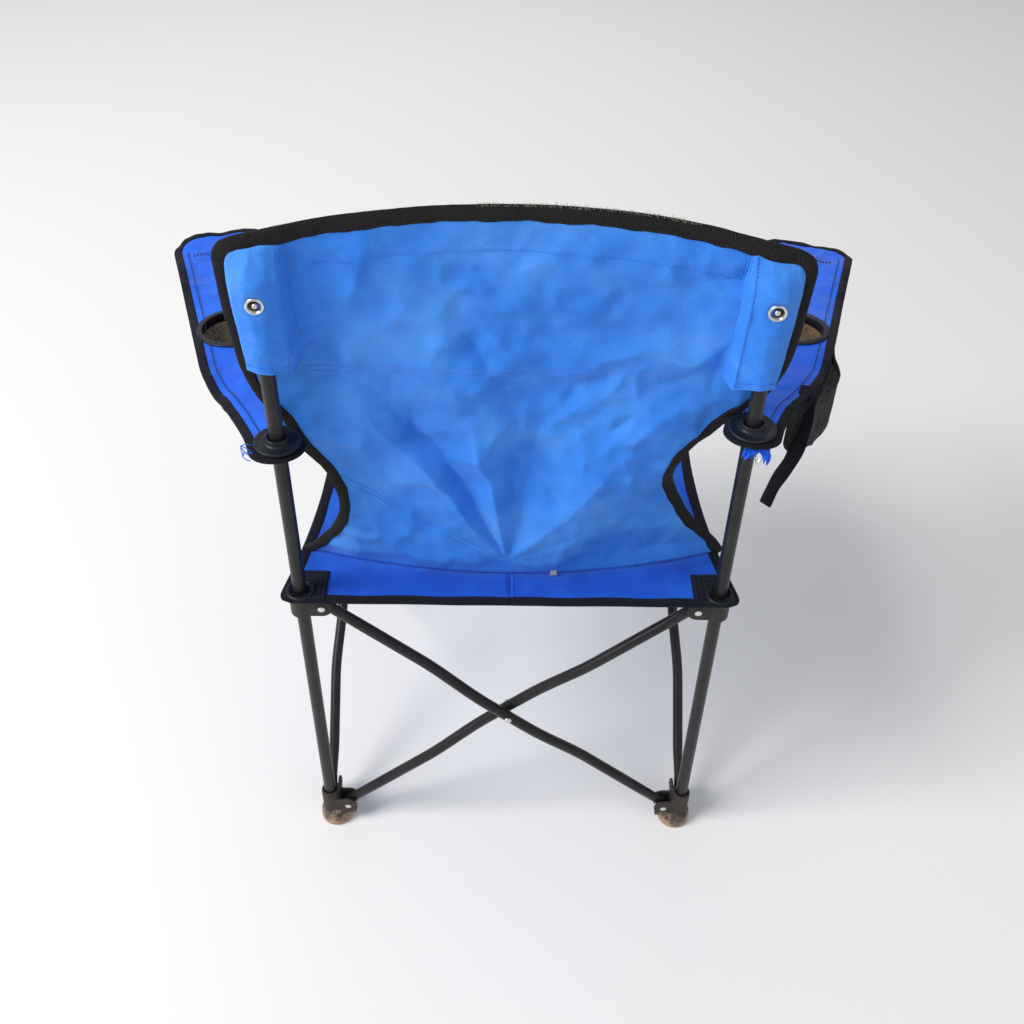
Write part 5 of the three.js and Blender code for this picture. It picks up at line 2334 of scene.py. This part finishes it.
    def cup_bag(self, outer: Array, heights: Array) -> Thing:
        """The dented netting bag of the cup holder, about its own axis.

        Args:
            outer: its outer radius at each height.
            heights: from its rim down to its foot.

        Returns:
            The bag.
        """
        wall, radius, low = 0.0009, self.cup_radius, -self.cup_depth
        side = list(zip(outer[1:], heights[1:]))
        profile = [(radius - 0.0004, heights[0])] + side + [(outer[-1] - 0.004, low + 0.001), (0, low)]
        profile += [(0, low + wall), (outer[-1] - 0.0045, low + 0.0025)]
        profile += [(r - wall, h) for r, h in side[::-1]] + [(radius - 0.0013, heights[0]), profile[0]]
        bag = turned(f"cup_bag_{self.side.word}", profile, CUP_NET, Matrix.Identity(4), 72)
        points = np.array([v.co for v in bag.data.vertices])
        dent = fractal(points.T, 18, 3, 8.0 + self.side.value)[:, None] * 0.0022
        dent = dent * np.clip(-points[:, 2:] / 0.03, 0, 1)
        away = points * [1, 1, 0] / np.maximum(np.linalg.norm(points[:, :2], axis=1), 0.004)[:, None]
        bag.data.vertices.foreach_set("co", (points + away * dent).astype(np.float32).ravel())
        return bag

    def threads(self) -> Thing:
        """Blue threads that have come loose beside the left collar.

        Returns:
            The threads, as one piece.
        """
        parts = []
        section = round_section(0.0006, 6)
        t = np.linspace(0, 1, 14)
        for bend, lift in ((0.9, 0.006), (-0.4, 0.003), (0.3, 0.009)):
            a = -0.006 + 0.020 * t * bend + 0.004 * np.sin(5 * t)
            c = 0.030 + 0.008 * np.sin(3.4 * t + bend)
            path = self.place(a, c, 0.003 + lift * np.sin(math.pi * t))
            parts.append(swept("thread", path, lambda run: section, STITCH_BLUE, self.up))
        return self.follows(join("armrest_loose_threads_left", parts))

    def scraps(self) -> Thing:
        """Torn cloth that hangs below the right collar.

        Returns:
            The torn cloth, as one piece.
        """
        rng = random.Random(5)
        parts = []
        for k, c in enumerate((0.000, 0.008, 0.019)):
            long, wide = rng.uniform(0.011, 0.017), rng.uniform(0.009, 0.013)
            u = np.linspace(-0.5, 0.5, 9)
            v = np.linspace(0, 1, 12)[:, None]
            side = c + u * wide * (1 - 0.6 * v**2) + 0.0025 * np.sin(4 * v + 2 * k)
            a = -0.014 - 0.005 * v + 0.004 * np.sin(6 * v + 2 * k) * v + 0.002 * np.cos(9 * u + k) * v
            h = -0.001 - long * v * (1 + 0.16 * np.sin(7 * u + 3 * k))
            grid = self.place(a + 0 * u, side, h)
            uv = np.stack([side, v * long + 0 * u], axis=-1)
            parts.append(thicken(grid_piece(f"scrap_{k}", grid, BLUE_ARM, uv), 0.0008))
        return self.follows(join("armrest_torn_cloth_right", parts))

    def loose_bit(self) -> Thing:
        """The bare staple that shows in the torn cloth.

        Returns:
            The staple.
        """
        t = np.linspace(0, 1, 16)
        bow = np.sin(math.pi * t)
        path = self.place(-0.024 - 0.003 * bow, 0.010 + 0.006 * t, -0.010 - 0.006 * bow)
        section = flat_section(0.0032, 0.0012)
        return self.follows(swept("armrest_staple_right", path, lambda run: section, BRIGHT_STEEL, self.up))

    def pocket(self) -> None:
        """Hangs the netting pocket from the outer edge of the arm."""
        start, long, deep, flat_deep = 0.070, 0.185, 0.078, 0.19
        t = np.linspace(0, 1, 60)[:, None]
        s = np.linspace(0, 1, 40)
        belly = np.sin(math.pi * t) ** 0.6
        a = start + long * t + 0 * s
        turn = s * math.pi
        bulge = 0.012 + 0.008 * np.sin(2.2 * math.pi * t + 0.4) ** 2
        outer = 0.0015 + bulge * belly * (1 + np.cos(turn)) / 2
        drop = -0.003 - deep * (0.55 + 0.45 * belly) * np.sin(turn) ** 0.55
        crumple = fractal((a, s * 0.15, 0.0), 26, 3, 7.7) * 0.004 * belly * np.sin(turn)
        edge = self.reach_out(a, True)
        sideways = edge + 0.001 + outer + np.abs(crumple)
        grid = self.place(a, sideways, self.height(a, edge) + drop + crumple)
        uv = np.stack([a, s * 2.2 * deep + 0 * a], axis=-1)
        net = thicken(grid_piece("side_pocket_netting", grid, BLACK_NET, uv), 0.0009)
        self.follows(net)
        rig.replaces(net, "side_pocket")
        section = flat_section(0.009, 0.0022)
        line = resampled(grid[:, 0], 0.004)
        rim = self.follows(swept("side_pocket_rim", line, lambda run: section, NAVY_TAPE, self.up))
        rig.sheet(
            net, flat=(long, flat_deep), area=0.75 * long * flat_deep, held="hung",
            rests_on=["armrest_cloth_right"], with_pieces=[rim, self.strap()],
        )

    def strap(self) -> Thing:
        """The webbing strap that hangs from the pocket's rear corner, with its frayed end.

        Returns:
            The strap.
        """
        knots = (
            (0.125, self.half_width * 0.93, 0.004), (0.100, self.half_width * 0.90, -0.004),
            (0.085, 0.050, -0.030), (0.078, 0.046, -0.062), (0.066, 0.034, -0.092), (0.060, 0.028, -0.118),
        )
        path = resampled(smooth_curve([self.place(*knot) for knot in knots], 8), 0.002)
        long = run_lengths(path)[-1]
        base = flat_section(0.0145, 0.0019)

        def section(run: float) -> Array:
            """The strap's section, wider where it is sewn on and thick at its frayed end."""
            wide = 1.6 - 0.6 * run / long + 0.05 * math.sin(run * 180)
            return base * [wide, 1 + 0.8 * max(0, run / long - 0.94) * 16]

        across = self.out - 0.5 * self.along
        return self.follows(swept("side_strap_webbing", path, section, NAVY_TAPE, across))


# ---- Studio ----


@dataclass
class Studio:
    """The floor, the light and the camera."""

    eye: tuple = (0.01446, 1.2056, 1.50253)
    pitch: float = 42.87
    yaw: float = -0.84
    roll: float = 1.22
    lens: float = 42.45
    rise: float = -0.0106
    paper: tuple = (0.86, 0.86, 0.85, 1)

    def build(self) -> None:
        """Makes the floor, the lights and the camera."""
        self.floor()
        self.world()
        bpy.context.scene.view_settings.view_transform = "Standard"
        self.lamp("key", (3.5, 1.45, 3.6), 2.3, 238, (1.0, 0.985, 0.96))
        self.lamp("fill", (-2.6, 2.4, 2.4), 2.5, 16, (0.95, 0.975, 1.0))
        self.lamp("front", (0.4, -2.6, 2.4), 2.5, 14, (1, 1, 1))
        self.camera()

    def floor(self) -> None:
        """A pale floor with a faint mottling."""
        mesh = bpy.data.meshes.new("floor")
        mesh.from_pydata([(-9, -9, 0), (9, -9, 0), (9, 9, 0), (-9, 9, 0)], [], [(0, 1, 2, 3)])
        floor = in_scene("floor", mesh)
        material = bpy.data.materials.new("pale_floor")
        material.use_nodes = True
        g = Graph(material.node_tree)
        shader = material.node_tree.nodes["Principled BSDF"]
        place = g.add("ShaderNodeTexCoord").outputs["Object"]
        darker = tuple(0.985 * k for k in self.paper[:3]) + (1,)
        g.feed(shader.inputs["Base Color"], g.mix(g.noise(place, 1.5, 2), self.paper, darker))
        shader.inputs["Roughness"].default_value = 0.8
        mesh.materials.append(material)
        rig.stage(floor)

    def world(self) -> None:
        """A pale, even surround."""
        world = bpy.data.worlds.new("surround")
        world.use_nodes = True
        bpy.context.scene.world = world
        backdrop = world.node_tree.nodes["Background"]
        backdrop.inputs["Color"].default_value = (0.95, 0.965, 1.0, 1)
        backdrop.inputs["Strength"].default_value = 0.44

    def lamp(self, name: str, place: tuple, size: float, power: float, colour: tuple) -> None:
        """A soft square lamp that faces the chair.

        Args:
            name: the lamp's name.
            place: where it hangs.
            size: its width.
            power: in watts.
            colour: its light's colour.
        """
        light = bpy.data.lights.new(name, "AREA")
        light.size, light.energy, light.color = size, power, colour
        lamp = in_scene(name, light)
        lamp.location = place
        aim = Vector((0, 0, 0.45)) - Vector(place)
        lamp.rotation_mode = "QUATERNION"
        lamp.rotation_quaternion = aim.to_track_quat("-Z", "Y")

    def camera(self) -> None:
        """The camera, above and behind the chair."""
        pitch, yaw, roll = (math.radians(k) for k in (self.pitch, self.yaw, self.roll))
        ahead = Vector((math.sin(yaw) * math.cos(pitch), -math.cos(yaw) * math.cos(pitch), -math.sin(pitch)))
        right = ahead.cross(Vector((0, 0, 1))).normalized()
        up = right.cross(ahead)
        right, up = math.cos(roll) * right + math.sin(roll) * up, math.cos(roll) * up - math.sin(roll) * right
        data = bpy.data.cameras.new("camera")
        data.lens, data.sensor_width, data.shift_y = self.lens, 36, self.rise
        data.clip_start, data.clip_end = 0.05, 50
        camera = in_scene("camera", data)
        turn = Matrix((right, up, -ahead)).transposed()
        camera.matrix_world = Matrix.Translation(self.eye) @ turn.to_4x4()
        bpy.context.scene.camera = camera


def write_sizes() -> None:
    """Writes the CAD box and the visual model's box."""
    boxes = {"cad": CAD_BOX, "visual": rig.bounds()}
    with open("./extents.json", "w", encoding="utf-8") as file:
        json.dump({name: [list(low), list(high)] for name, (low, high) in boxes.items()}, file)


def main() -> None:
    """Builds the chair's looks in order."""
    logging.basicConfig(level=logging.INFO, format="%(name)s: %(message)s")
    build_effects()
    sizes = Measures()
    Studio().build()
    Steelwork(sizes).build()
    BackPanel(sizes).build()
    Seat(sizes).build()
    for side in Side:
        Armrest(sizes, side).build()
    write_sizes()


if __name__ == "__main__":
    main()
